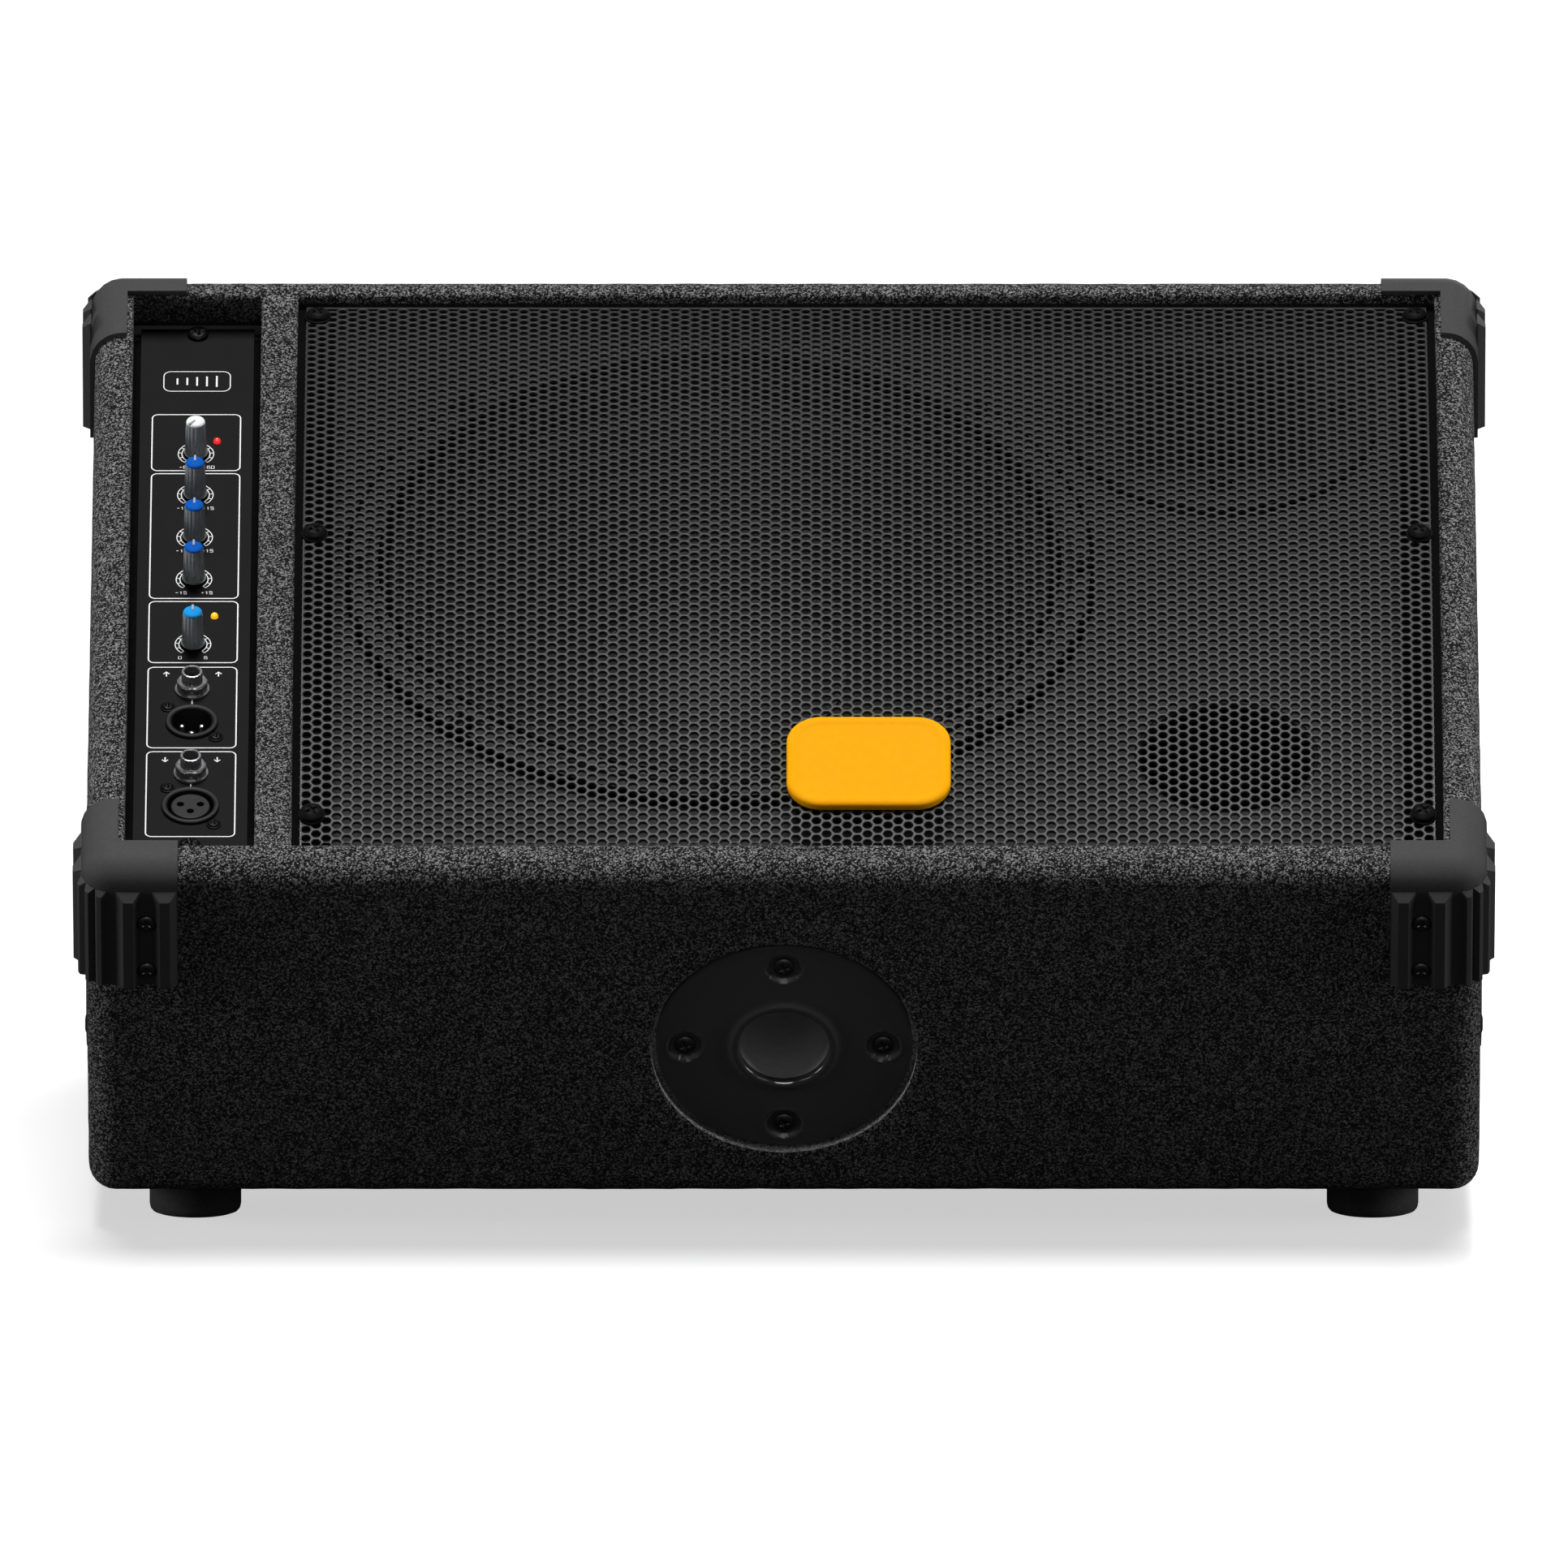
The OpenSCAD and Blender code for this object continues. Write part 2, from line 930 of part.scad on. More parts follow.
module horn_flare() {
    half = horn_mouth / 2;
    color(plastic_c)
        difference() {
            at_horn()
                difference() {
                    union() {
                        cylinder(r = 59, h = 4);
                        translate([0, 0, -58])
                            frustum(17, half + 2, 58.5);
                        translate([0, 0, -62])
                            cylinder(r = 24, h = 8);
                    }
                    translate([0, 0, -56])
                        frustum(13.5, half + 0.6, 60.5);
                    translate([0, 0, -70])
                        cylinder(r = 12.7, h = 30);
                }
            at_horn_screws()
                screw_bore(17);
        }
}

module compression_driver() {
    color(steel_c)
        at_horn()
            rotate_extrude()
                polygon([[12.7, -62.1], [31, -62.1], [31, -86], [27, -98], [0, -98], [0, -92], [23, -92],
                    [23, -78], [12.7, -74]]);
}

module hf_diaphragm() {
    color(alu_c)
        at_horn()
            translate([0, 0, -100.5])
                intersection() {
                    difference() {
                        sphere(r = 26);
                        sphere(r = 25.8);
                    }
                    translate([0, 0, 12])
                        cylinder(r = 22, h = 20);
                }
}

// ---- control strip ----

module at_panel_screws() {
    for (u = panel_screw_u)
        on_panel(u)
            children();
}

module small_screw(shank) {
    difference() {
        union() {
            cylinder(r1 = 2.8, r2 = 2.2, h = 1.2);
            translate([0, 0, -shank])
                cylinder(r = 1.4, h = shank + 0.3);
        }
        translate([-1.6, -0.4, 0.5])
            cube([3.2, 0.8, 2]);
        translate([-0.4, -1.6, 0.5])
            cube([0.8, 3.2, 2]);
    }
}

module at_socket_screws() {
    for (p = link_screws)
        on_panel(link_u)
            translate([p[0], p[1], 0])
                children();
    for (p = input_screws)
        on_panel(input_u)
            translate([p[0], p[1], 0])
                children();
}

module control_panel() {
    color(black_c)
        difference() {
            on_baffle()
                block([panel_x - panel_w / 2, open_u0 + 0.5, -recess_d - panel_t2],
                    [panel_x + panel_w / 2, open_u1 - 0.5, -recess_d]);
            for (u = knob_u)
                on_panel(u)
                    translate([0, 0, -5])
                        cylinder(r = 3.4, h = 10);
            for (u = jack_u)
                on_panel(u)
                    translate([0, 0, -5])
                        cylinder(r = bush_r + 0.1, h = 10);
            for (u = [link_u, input_u])
                on_panel(u)
                    translate([0, 0, -5])
                        cylinder(r = 10.3, h = 10);
            for (u = led_u)
                on_panel(u)
                    translate([led_dx, 0, -5])
                        cylinder(r = 1.6, h = 10);
            at_panel_screws()
                screw_bore(12);
            at_socket_screws()
                translate([0, 0, -5])
                    cylinder(r = 1.5, h = 10);
            rear_slab();
        }
}

module control_chassis() {
    color(steel_c)
        on_baffle()
            difference() {
                block([panel_x - 19.5, 44, -recess_d - 42], [panel_x + 19.5, 350, -recess_d - panel_t2]);
                block([panel_x - 18.3, 45.2, -recess_d - 40.8], [panel_x + 18.3, 348.8, 0]);
                block([panel_x - 8, 330, -recess_d - 50], [panel_x + 8, 344, -recess_d - 30]);
            }
}

module circuit_boards() {
    color(board_c) {
        on_baffle() {
            block([panel_x - 17.5, 156, -recess_d - 11], [panel_x + 17.5, 310, -recess_d - 9.4]);
            block([panel_x - 17.5, 48, -recess_d - 33.6], [panel_x + 17.5, 152, -recess_d - 32]);
        }
        on_rear()
            difference() {
                union() {
                    block([-85, 84, -35], [85, 182, -33.4]);
                    block([-60, 88, -33.6], [60, 104, -2.02]);
                    block([-78, 120, -62], [-40, 160, -34.8]);
                    translate([-15, 140, -66])
                        cylinder(r = 12.5, h = 31.5);
                    translate([15, 140, -66])
                        cylinder(r = 12.5, h = 31.5);
                    block([35, 112, -50], [42, 172, -34.8]);
                    block([60, 112, -50], [67, 172, -34.8]);
                }
                for (x = [-45:30:45])
                    translate([x, 96, -40])
                        cylinder(r = 1.6, h = 60);
            }
    }
}

module pot_bodies() {
    color(board_c)
        for (u = knob_u)
            on_panel(u)
                difference() {
                    block([-5.5, -5.5, -9.3], [5.5, 5.5, -panel_t2]);
                    translate([0, 0, -6.2])
                        cylinder(r = 3.08, h = 10);
                }
}

module knob(u, turn) {
    on_panel(u)
        rotate([0, 0, turn]) {
            difference() {
                rotate_extrude()
                    polygon([[3.05, 0.6], [4.7, 0.6], [4.7, 2.4], [3.9, 5], [3.8, knob_h - 1.2],
                        [0, knob_h - 1.2], [0, knob_h - 3.4], [3.05, knob_h - 3.4]]);
                for (a = [0:30:330])
                    rotate([0, 0, a + 15])
                        translate([4.15, 0, 5.5])
                            cylinder(r = 0.6, h = knob_h, $fn = 16);
            }
            translate([0, 0, -6])
                cylinder(r = 3, h = knob_h + 2.4);
        }
}

module knob_cap(u, turn) {
    on_panel(u)
        rotate([0, 0, turn])
            translate([0, 0, knob_h - 1.2]) {
                cylinder(r = 3.5, h = 1);
                block([-0.45, 0.4, 0.9], [0.45, 3.4, 1.3]);
            }
}

module gain_knob() {
    color(knob_c)
        knob(knob_u[0], gain_turn);
}

module treble_knob() {
    color(knob_c)
        knob(knob_u[1], 0);
}

module mid_knob() {
    color(knob_c)
        knob(knob_u[2], 0);
}

module bass_knob() {
    color(knob_c)
        knob(knob_u[3], 0);
}

module filter_knob() {
    color(knob_c)
        knob(knob_u[4], 0);
}

module gain_cap() {
    color(white_c)
        knob_cap(knob_u[0], gain_turn);
}

module treble_cap() {
    color(blue_c)
        knob_cap(knob_u[1], 0);
}

module mid_cap() {
    color(blue_c)
        knob_cap(knob_u[2], 0);
}

module bass_cap() {
    color(blue_c)
        knob_cap(knob_u[3], 0);
}

module filter_cap() {
    color(sky_c)
        knob_cap(knob_u[4], 0);
}

module jack_sockets() {
    color(black_c)
        for (u = jack_u)
            on_panel(u)
                difference() {
                    union() {
                        block([-7.5, -8.5, -30], [7.5, 8.5, -panel_t2]);
                        translate([0, 0, -5])
                            cylinder(r = bush_r, h = 14.5);
                    }
                    translate([0, 0, -27])
                        cylinder(r = jack_r, h = 60);
                }
}

module jack_nuts() {
    color(alu_c)
        for (u = jack_u)
            on_panel(u)
                difference() {
                    union() {
                        cylinder(r = 6.9, h = 1);
                        cylinder(r = 6.8, h = 5, $fn = 6);
                    }
                    translate([0, 0, -1])
                        cylinder(r = bush_r + 0.05, h = 12);
                }
}

module link_xlr() {
    color(plastic_c)
        on_panel(link_u)
            difference() {
                union() {
                    translate([0, 0, -26])
                        cylinder(r = 10.2, h = 26.5);
                    cylinder(r = 10.7, h = 1.5);
                }
                translate([0, 0, -14])
                    cylinder(r = 8.15, h = 20);
                for (p = pin_spots)
                    translate([p[0], p[1], -18])
                        cylinder(r = 1.25, h = 10);
            }
}

module input_xlr() {
    color(plastic_c)
        on_panel(input_u)
            difference() {
                union() {
                    translate([0, 0, -26])
                        cylinder(r = 10.2, h = 26.5);
                    cylinder(r = 11.7, h = 1.5);
                }
                translate([0, 0, -12])
                    ring(9.3, 7.95, 20);
                for (p = pin_spots)
                    translate([-p[0], p[1], -14])
                        cylinder(r = 1.3, h = 20);
                translate([0, 0, 0.4])
                    cylinder(r = 8.2, h = 5);
            }
}

module xlr_pins() {
    color(steel_c)
        for (p = pin_spots)
            on_panel(link_u)
                translate([p[0], p[1], -18]) {
                    cylinder(r = 1.2, h = 15);
                    translate([0, 0, 15])
                        cylinder(r1 = 1.2, r2 = 0.6, h = 0.8);
                }
}

module led(u) {
    on_panel(u)
        translate([led_dx, 0, 0]) {
            translate([0, 0, -5])
                cylinder(r = 1.5, h = 5.4);
            intersection() {
                translate([0, 0, 0.4])
                    sphere(r = 1.5);
                cylinder(r = 3, h = 5);
            }
        }
}

module clip_led() {
    color([0.8, 0.08, 0.05])
        led(led_u[0]);
}

module filter_led() {
    color([1, 0.6, 0.05])
        led(led_u[1]);
}

module panel_screws() {
    color(steel_c) {
        at_panel_screws()
            wood_screw(12);
        at_socket_screws()
            small_screw(9);
        at_amp_screws()
            wood_screw(14);
    }
}

// ---- amplifier on the rear ----

module amp_plate() {
    color(black_c)
        difference() {
            on_rear()
                difference() {
                    block([-amp_w / 2, amp_s0, fit_gap - carpet_t], [amp_w / 2, amp_s1, amp_t - carpet_t]);
                    block([-13.9, inlet_s - 29.6, -10], [13.9, inlet_s + 29.6, 10]);
                }
            at_amp_screws()
                screw_bore(14);
        }
}

module heatsink() {
    color(alu_c)
        on_rear() {
            block([-90, 84, amp_t - carpet_t], [90, 176, 4.5]);
            for (x = [-88:8:88])
                block([x - 1, 84, 4.4], [x + 1, 176, 16]);
        }
}

module mains_inlet() {
    face = amp_t - carpet_t;
    color(black_c)
        on_rear() {
            difference() {
                union() {
                    block([-inlet_w / 2, inlet_s - inlet_l / 2, face],
                        [inlet_w / 2, inlet_s + inlet_l / 2, 3]);
                    block([-13.6, inlet_s - 29.3, -29], [13.6, inlet_s + 29.3, face + 0.1]);
                }
                block([-9.8, rocker_s - 6.8, -14], [9.8, rocker_s + 6.8, 10]);
                block([-11.4, drawer_s - 4.4, -24], [11.4, drawer_s + 4.4, 10]);
                block([-12, socket_s - 8, -16], [12, socket_s + 8, 10]);
            }
            for (p = [[-7, 2], [0, -3], [7, 2]])
                block([p[0] - 1, socket_s + p[1] - 2.5, -17], [p[0] + 1, socket_s + p[1] + 2.5, -1]);
        }
}

module fuse_drawer() {
    color(black_c)
        on_rear()
            difference() {
                union() {
                    block([-11, drawer_s - 4, -22], [11, drawer_s + 4, 3]);
                    block([-11, drawer_s - 4, 2.9], [11, drawer_s + 4, 4.4]);
                    block([-5, drawer_s - 1, 4.3], [5, drawer_s + 1, 5.6]);
                }
                block([-9.5, drawer_s - 2.8, -20], [9.5, drawer_s + 5, -2]);
            }
}

module power_rocker() {
    color(black_c)
        on_rear()
            translate([0, rocker_s, -3])
                rotate([0, -rocker_tilt, 0])
                    intersection() {
                        translate([0, 6.4, 0])
                            rotate([90, 0, 0])
                                cylinder(r = 9.4, h = 12.8);
                        translate([0, 6.4, 0])
                            rotate([90, 0, 0])
                                linear_extrude(height = 12.8)
                                    polygon([[-9.4, -5], [9.4, -5], [9.4, 7.2], [0, 5.9], [-9.4, 7.2]]);
                    }
}

// ---- inside ----

// straight round run of cable from a point, turned by angles, with a square clip at its start
module cable(from, turn, length) {
    translate(from)
        rotate(turn)
            cylinder(r = cable_r, h = length);
    translate(from)
        cube(3 * cable_r, center = true);
}

module speaker_cables() {
    color(rubber_c)
        on_baffle() {
            cable([60, 214, -160], [-90, 0, 0], 82);
            cable([60, 214, -108], [180, 0, 0], 52);
            cable([177, 300, -160], [0, -90, 0], 77);
            cable([177, 300, -117], [180, 0, 0], 43);
            cable([-238, 322, -62], [180, 0, 0], 88);
            cable([-238, 322, -150], [0, 90, 0], 146);
        }
}

module damping_wadding() {
    color([0.85, 0.83, 0.78])
        block([-190, front_y + 110, foot_h + board_in + 1], [256, front_y + 380, foot_h + board_in + 26]);
}

carpet_cover();
side_panels();
front_panel();
bottom_panel();
rear_panel();
baffle_board();
divider_board();
corner_protectors();
rubber_feet();
side_handles();
case_screws();
pole_cup();
port_tube();
grille();
battens();
grille_screws();
badge();
woofer_frame();
woofer_gasket();
woofer_top_plate();
woofer_magnet();
woofer_yoke();
driver_screws();
woofer_surround();
woofer_spider();
woofer_cone();
woofer_dust_cap();
woofer_voice_coil();
horn_flare();
compression_driver();
hf_diaphragm();
control_panel();
control_chassis();
circuit_boards();
pot_bodies();
gain_knob();
treble_knob();
mid_knob();
bass_knob();
filter_knob();
gain_cap();
treble_cap();
mid_cap();
bass_cap();
filter_cap();
jack_sockets();
jack_nuts();
link_xlr();
input_xlr();
xlr_pins();
clip_led();
filter_led();
panel_screws();
amp_plate();
heatsink();
mains_inlet();
fuse_drawer();
power_rocker();
speaker_cables();
damping_wadding();
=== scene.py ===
import json
import math
import bmesh
import bpy
import numpy as np
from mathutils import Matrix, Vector

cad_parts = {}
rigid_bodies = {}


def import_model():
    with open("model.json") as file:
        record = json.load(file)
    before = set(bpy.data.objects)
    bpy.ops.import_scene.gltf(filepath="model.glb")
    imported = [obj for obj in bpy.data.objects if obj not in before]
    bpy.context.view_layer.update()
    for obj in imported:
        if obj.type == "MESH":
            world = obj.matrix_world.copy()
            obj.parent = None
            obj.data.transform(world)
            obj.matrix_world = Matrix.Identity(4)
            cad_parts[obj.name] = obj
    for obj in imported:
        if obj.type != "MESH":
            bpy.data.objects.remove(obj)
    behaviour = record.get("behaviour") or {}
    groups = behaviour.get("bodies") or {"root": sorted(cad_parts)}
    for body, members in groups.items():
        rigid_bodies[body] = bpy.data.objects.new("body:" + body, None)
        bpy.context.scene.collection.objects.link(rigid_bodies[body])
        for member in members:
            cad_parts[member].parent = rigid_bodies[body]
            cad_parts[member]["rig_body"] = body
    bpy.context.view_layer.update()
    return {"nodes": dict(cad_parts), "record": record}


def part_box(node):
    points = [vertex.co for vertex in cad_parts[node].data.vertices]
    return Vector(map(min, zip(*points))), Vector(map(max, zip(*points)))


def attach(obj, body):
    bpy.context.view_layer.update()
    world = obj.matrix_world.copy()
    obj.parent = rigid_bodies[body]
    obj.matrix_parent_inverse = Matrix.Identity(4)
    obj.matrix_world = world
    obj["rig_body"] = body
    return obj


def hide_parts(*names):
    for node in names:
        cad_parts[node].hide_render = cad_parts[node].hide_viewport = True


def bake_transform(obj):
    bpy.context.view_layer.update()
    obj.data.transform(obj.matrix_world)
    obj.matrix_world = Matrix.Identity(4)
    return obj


# Looks of the stage monitor wedge, built round its CAD frame. Local sizes are millimetres.

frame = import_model()
nodes = frame["nodes"]
scene = bpy.context.scene
rng = np.random.default_rng(7)

# ---------- sizes and frames shared with the CAD source ----------

TILT, LEAN = math.radians(28), math.radians(14)  # of the sloping face and of the rear face
CT, ST = math.cos(TILT), math.sin(TILT)
CL, SL = math.cos(LEAN), math.sin(LEAN)
BODY_W, SLOPE, FRONT_H, FOOT_H, EDGE = 560.0, 396.0, 164.0, 15.0, 11.0
FRONT_Y = -214.92
RIM_Z = FOOT_H + FRONT_H * CT
REAR_Y, REAR_Z = FRONT_Y + SLOPE * CT, RIM_Z + SLOPE * ST
HEEL_Y = REAR_Y + (REAR_Z - FOOT_H) * math.tan(LEAN)
TOE_Y = FRONT_Y + FRONT_H * ST
PANEL_X, RECESS = -238.5, 15.0
HANDLE_Y, HANDLE_Z = FRONT_Y + 215, 111.0
POLE_H, FLANGE_R, POLE_SCREW_R = 91.5, 51.5, 39.8
FOOT_X, FOOT_INSET, FOOT_PITCH = 237.5, 38, 272
# on the sloping face: across, and up the slope from its front edge
WOOFER_AT, HORN_AT, PORT_AT = (-26, 212), (177, 316), (178, 94)
# on the control plate: distance up the slope
KNOB_U = {"gain": 292.0, "treble": 265.0, "mid": 237.0, "bass": 209.5, "filter": 167.0}
JACK_U, LINK_U, INPUT_U = (137.5, 83.0), 116, 61.4
PLATE_SCREW_U = (36, 371)
CONTACTS = ((-4, 1.2), (4, 1.2), (0, -3.2))
QUARTERS = [math.radians(a) for a in (0, 90, 180, 270)]


def basis(origin, ex, ey, ez):
    m = np.eye(4)
    m[:3, 0], m[:3, 1], m[:3, 2], m[:3, 3] = ex, ey, ez, origin
    return m


def move(x, y, z):
    return basis((x, y, z), (1, 0, 0), (0, 1, 0), (0, 0, 1))


def turn(axis, deg):
    a = math.radians(deg)
    c, s = math.cos(a), math.sin(a)
    if axis == "x":
        return basis((0, 0, 0), (1, 0, 0), (0, c, s), (0, -s, c))
    if axis == "y":
        return basis((0, 0, 0), (c, 0, -s), (0, 1, 0), (s, 0, c))
    return basis((0, 0, 0), (c, s, 0), (-s, c, 0), (0, 0, 1))


BAFFLE = basis((0, FRONT_Y, RIM_Z), (1, 0, 0), (0, CT, ST), (0, -ST, CT))
FRONT = BAFFLE @ turn("x", 90)
REAR = basis((0, REAR_Y, REAR_Z), (1, 0, 0), (0, SL, -CL), (0, CL, SL))


def side(s):
    return move(s * BODY_W / 2, HANDLE_Y, HANDLE_Z) @ turn("y", s * 90)


def on_panel(u):
    return BAFFLE @ move(PANEL_X, u, -RECESS)


def world(m, pts):
    pts = np.asarray(pts, float).reshape(-1, 3)
    return pts @ m[:3, :3].T + m[:3, 3]


# ---------- mesh helpers ----------

class Soup:
    """Collects parts given in local millimetres and makes one object of them."""

    def __init__(self):
        self.v, self.f, self.n = [], [], 0

    def add(self, verts, faces, m=None):
        verts = np.asarray(verts, float).reshape(-1, 3)
        if m is not None:
            verts = world(m, verts)
        self.v.append(verts)
        if isinstance(faces, np.ndarray):
            self.f.extend((faces + self.n).tolist())
        else:
            self.f.extend([[i + self.n for i in f] for f in faces])
        self.n += len(verts)

    def build(self, name, finish, body="cabinet", node=None, slot=None, sharp=38, fix=True):
        me = bpy.data.meshes.new(name)
        me.from_pydata((np.concatenate(self.v) * 0.001).tolist(), [], self.f)
        me.materials.append(MAT[finish])
        if fix:
            bm = bmesh.new()
            bm.from_mesh(me)
            bmesh.ops.recalc_face_normals(bm, faces=bm.faces)
            bm.to_mesh(me)
            bm.free()
        me.polygons.foreach_set("use_smooth", [True] * len(me.polygons))
        me.set_sharp_from_angle(angle=math.radians(sharp))
        me.update()
        ob = bpy.data.objects.new(name, me)
        scene.collection.objects.link(ob)
        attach(ob, body)
        if node:
            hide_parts(node)
        return ob


def piece(name, finish, *parts, **where):
    """One object from (mesh, place) pairs."""
    s = Soup()
    for mesh, m in parts:
        s.add(*mesh, m)
    return s.build(name, finish, **where)


OPEN = (False, False)  # no end caps


def loft(loops, caps=(True, True), wrap=False):
    """Quads between closed loops of equal length, with optional end caps."""
    n, k = len(loops[0]), len(loops)
    verts = np.concatenate([np.asarray(l, float) for l in loops])
    faces = []
    for i in range(k if wrap else k - 1):
        a, b = i * n, ((i + 1) % k) * n
        for j in range(n):
            j2 = (j + 1) % n
            faces.append([a + j, a + j2, b + j2, b + j])
    if not wrap:
        if caps[0]:
            faces.append(list(range(n))[::-1])
        if caps[1]:
            faces.append(list(range((k - 1) * n, k * n)))
    return verts, faces


def circle(r, z, n, x=0.0, y=0.0):
    a = np.linspace(0, 2 * math.pi, n, endpoint=False)
    return np.stack([x + r * np.cos(a), y + r * np.sin(a), np.full(n, z)], 1)


def lathe(profile, n=64, wrap=False, caps=(True, True)):
    return loft([circle(max(r, 0.01), z, n) for r, z in profile], caps, wrap)


def rrect(a, b, r, z, n=6):
    pts = []
    for cx, cy, a0 in ((1, 1, 0), (-1, 1, 90), (-1, -1, 180), (1, -1, 270)):
        for i in range(n + 1):
            t = math.radians(a0 + 90 * i / n)
            pts.append((cx * (a / 2 - r) + r * math.cos(t), cy * (b / 2 - r) + r * math.sin(t), z))
    return np.array(pts)


def box(lo, hi, bevel=0.0):
    a, b = hi[0] - lo[0], hi[1] - lo[1]
    c = np.array([(lo[0] + hi[0]) / 2, (lo[1] + hi[1]) / 2, 0])
    e = max(bevel, 0.001)
    loops = [rrect(a - 2 * e, b - 2 * e, e, lo[2], 2) + c, rrect(a, b, e, lo[2] + e, 2) + c,
             rrect(a, b, e, hi[2] - e, 2) + c, rrect(a - 2 * e, b - 2 * e, e, hi[2], 2) + c]
    return loft(loops)


def tube(points, r, n=12, steps=10):
    """Round cable through points, smoothed with Catmull-Rom."""
    p = [np.array(q, float) for q in points]
    p = [2 * p[0] - p[1]] + p + [2 * p[-1] - p[-2]]
    path = []
    for i in range(1, len(p) - 2):
        for s in range(steps):
            t = s / steps
            path.append(0.5 * ((2 * p[i]) + (p[i + 1] - p[i - 1]) * t
                               + (2 * p[i - 1] - 5 * p[i] + 4 * p[i + 1] - p[i + 2]) * t * t
                               + (3 * p[i] - p[i - 1] - 3 * p[i + 1] + p[i + 2]) * t ** 3))
    path.append(p[-2])
    path = np.array(path)
    loops, up = [], np.array([0.31, 0.17, 0.93])
    for i, c in enumerate(path):
        d = path[min(i + 1, len(path) - 1)] - path[max(i - 1, 0)]
        d = d / np.linalg.norm(d)
        ex = np.cross(up, d)
        ex /= np.linalg.norm(ex)
        up = np.cross(d, ex)
        a = np.linspace(0, 2 * math.pi, n, endpoint=False)
        loops.append(c + r * (np.outer(np.cos(a), ex) + np.outer(np.sin(a), up)))
    return loft(loops)


# ---------- materials ----------

def put(node, **values):
    """Sets a node's inputs; an underscore in a name stands for a space."""
    for key, value in values.items():
        node.inputs[key.replace("_", " ")].default_value = value


def principled(name):
    m = bpy.data.materials.new(name)
    m.use_nodes = True
    nt = m.node_tree
    return m, nt, nt.nodes["Principled BSDF"], nt.nodes.new("ShaderNodeTexCoord")


def noise_node(nt, tc, scale, detail=2.0, rough=0.5):
    n = nt.nodes.new("ShaderNodeTexNoise")
    put(n, Scale=scale, Detail=detail, Roughness=rough)
    nt.links.new(tc.outputs["Object"], n.inputs["Vector"])
    return n


def ramp(nt, b, source, stops):
    """Colour ramp from a value to the base colour."""
    r = nt.nodes.new("ShaderNodeValToRGB")
    e = r.color_ramp.elements
    while len(e) < len(stops):
        e.new(0.5)
    for el, (pos, col) in zip(e, stops):
        el.position = pos
        el.color = (*col, 1)
    nt.links.new(source, r.inputs["Fac"])
    nt.links.new(r.outputs["Color"], b.inputs["Base Color"])
    return r


def relief(nt, b, height, strength, distance):
    bp = nt.nodes.new("ShaderNodeBump")
    put(bp, Strength=strength, Distance=distance)
    nt.links.new(height, bp.inputs["Height"])
    nt.links.new(bp.outputs["Normal"], b.inputs["Normal"])
    return bp


def grey(v):
    return (v, v, v)


def simple(name, col, rough, scale, vary, bump, dist, metallic=0.0, coat=0.0, specular=0.5,
           edge=0.0, rough_vary=0.08):
    """Base material: slight colour and roughness variation, fine bump, optional rounded edges."""
    m, nt, b, tc = principled(name)
    n = noise_node(nt, tc, scale, 3.0)
    lo = tuple(c * (1 - vary) for c in col)
    hi = tuple(min(1.0, c * (1 + vary)) for c in col)
    ramp(nt, b, n.outputs["Fac"], [(0.3, lo), (0.7, hi)])
    patches = noise_node(nt, tc, scale * 0.07, 4.0)
    spread = nt.nodes.new("ShaderNodeMapRange")
    put(spread, To_Min=max(0.02, rough - rough_vary), To_Max=min(1.0, rough + rough_vary))
    nt.links.new(patches.outputs["Fac"], spread.inputs["Value"])
    nt.links.new(spread.outputs["Result"], b.inputs["Roughness"])
    put(b, Metallic=metallic, Coat_Weight=coat, Specular_IOR_Level=specular)
    bp = relief(nt, b, n.outputs["Fac"], bump, dist)
    if edge > 0:
        bv = nt.nodes.new("ShaderNodeBevel")
        put(bv, Radius=edge)
        nt.links.new(bv.outputs["Normal"], bp.inputs["Normal"])
    return m


def math_node(nt, operation, a, factor):
    n = nt.nodes.new("ShaderNodeMath")
    n.operation = operation
    n.inputs[1].default_value = factor
    nt.links.new(a, n.inputs[0])
    return n


def carpet_material(name, dark, middle, light):
    """Heather carpet: a tone for each fibre tuft, mixed with clumps, and pile bump."""
    m, nt, b, tc = principled(name)
    tufts = nt.nodes.new("ShaderNodeTexVoronoi")
    put(tufts, Scale=1750)
    nt.links.new(tc.outputs["Object"], tufts.inputs["Vector"])
    tone = nt.nodes.new("ShaderNodeSeparateColor")
    nt.links.new(tufts.outputs["Color"], tone.inputs["Color"])
    clump = noise_node(nt, tc, 420, 2.0, 0.6)
    mix = math_node(nt, "MULTIPLY_ADD", tone.outputs["Red"], 0.8)
    part = math_node(nt, "MULTIPLY", clump.outputs["Fac"], 0.2)
    nt.links.new(part.outputs[0], mix.inputs[2])
    ramp(nt, b, mix.outputs[0], [(0.08, dark), (0.52, middle), (0.92, light)])
    put(b, Roughness=0.95, Specular_IOR_Level=0.06, Sheen_Weight=0.04, Sheen_Roughness=0.6)
    relief(nt, b, tufts.outputs["Distance"], 0.8, 0.0004).invert = True
    return m


def wood_material(name, c1, c2):
    m, nt, b, tc = principled(name)
    grain = nt.nodes.new("ShaderNodeMapping")
    put(grain, Scale=(4, 60, 60))
    w = noise_node(nt, tc, 6, 6)
    nt.links.new(tc.outputs["Object"], grain.inputs["Vector"])
    nt.links.new(grain.outputs["Vector"], w.inputs["Vector"])
    ramp(nt, b, w.outputs["Fac"], [(0.35, c1), (0.65, c2)])
    put(b, Roughness=0.75)
    relief(nt, b, w.outputs["Fac"], 0.2, 0.0003)
    return m


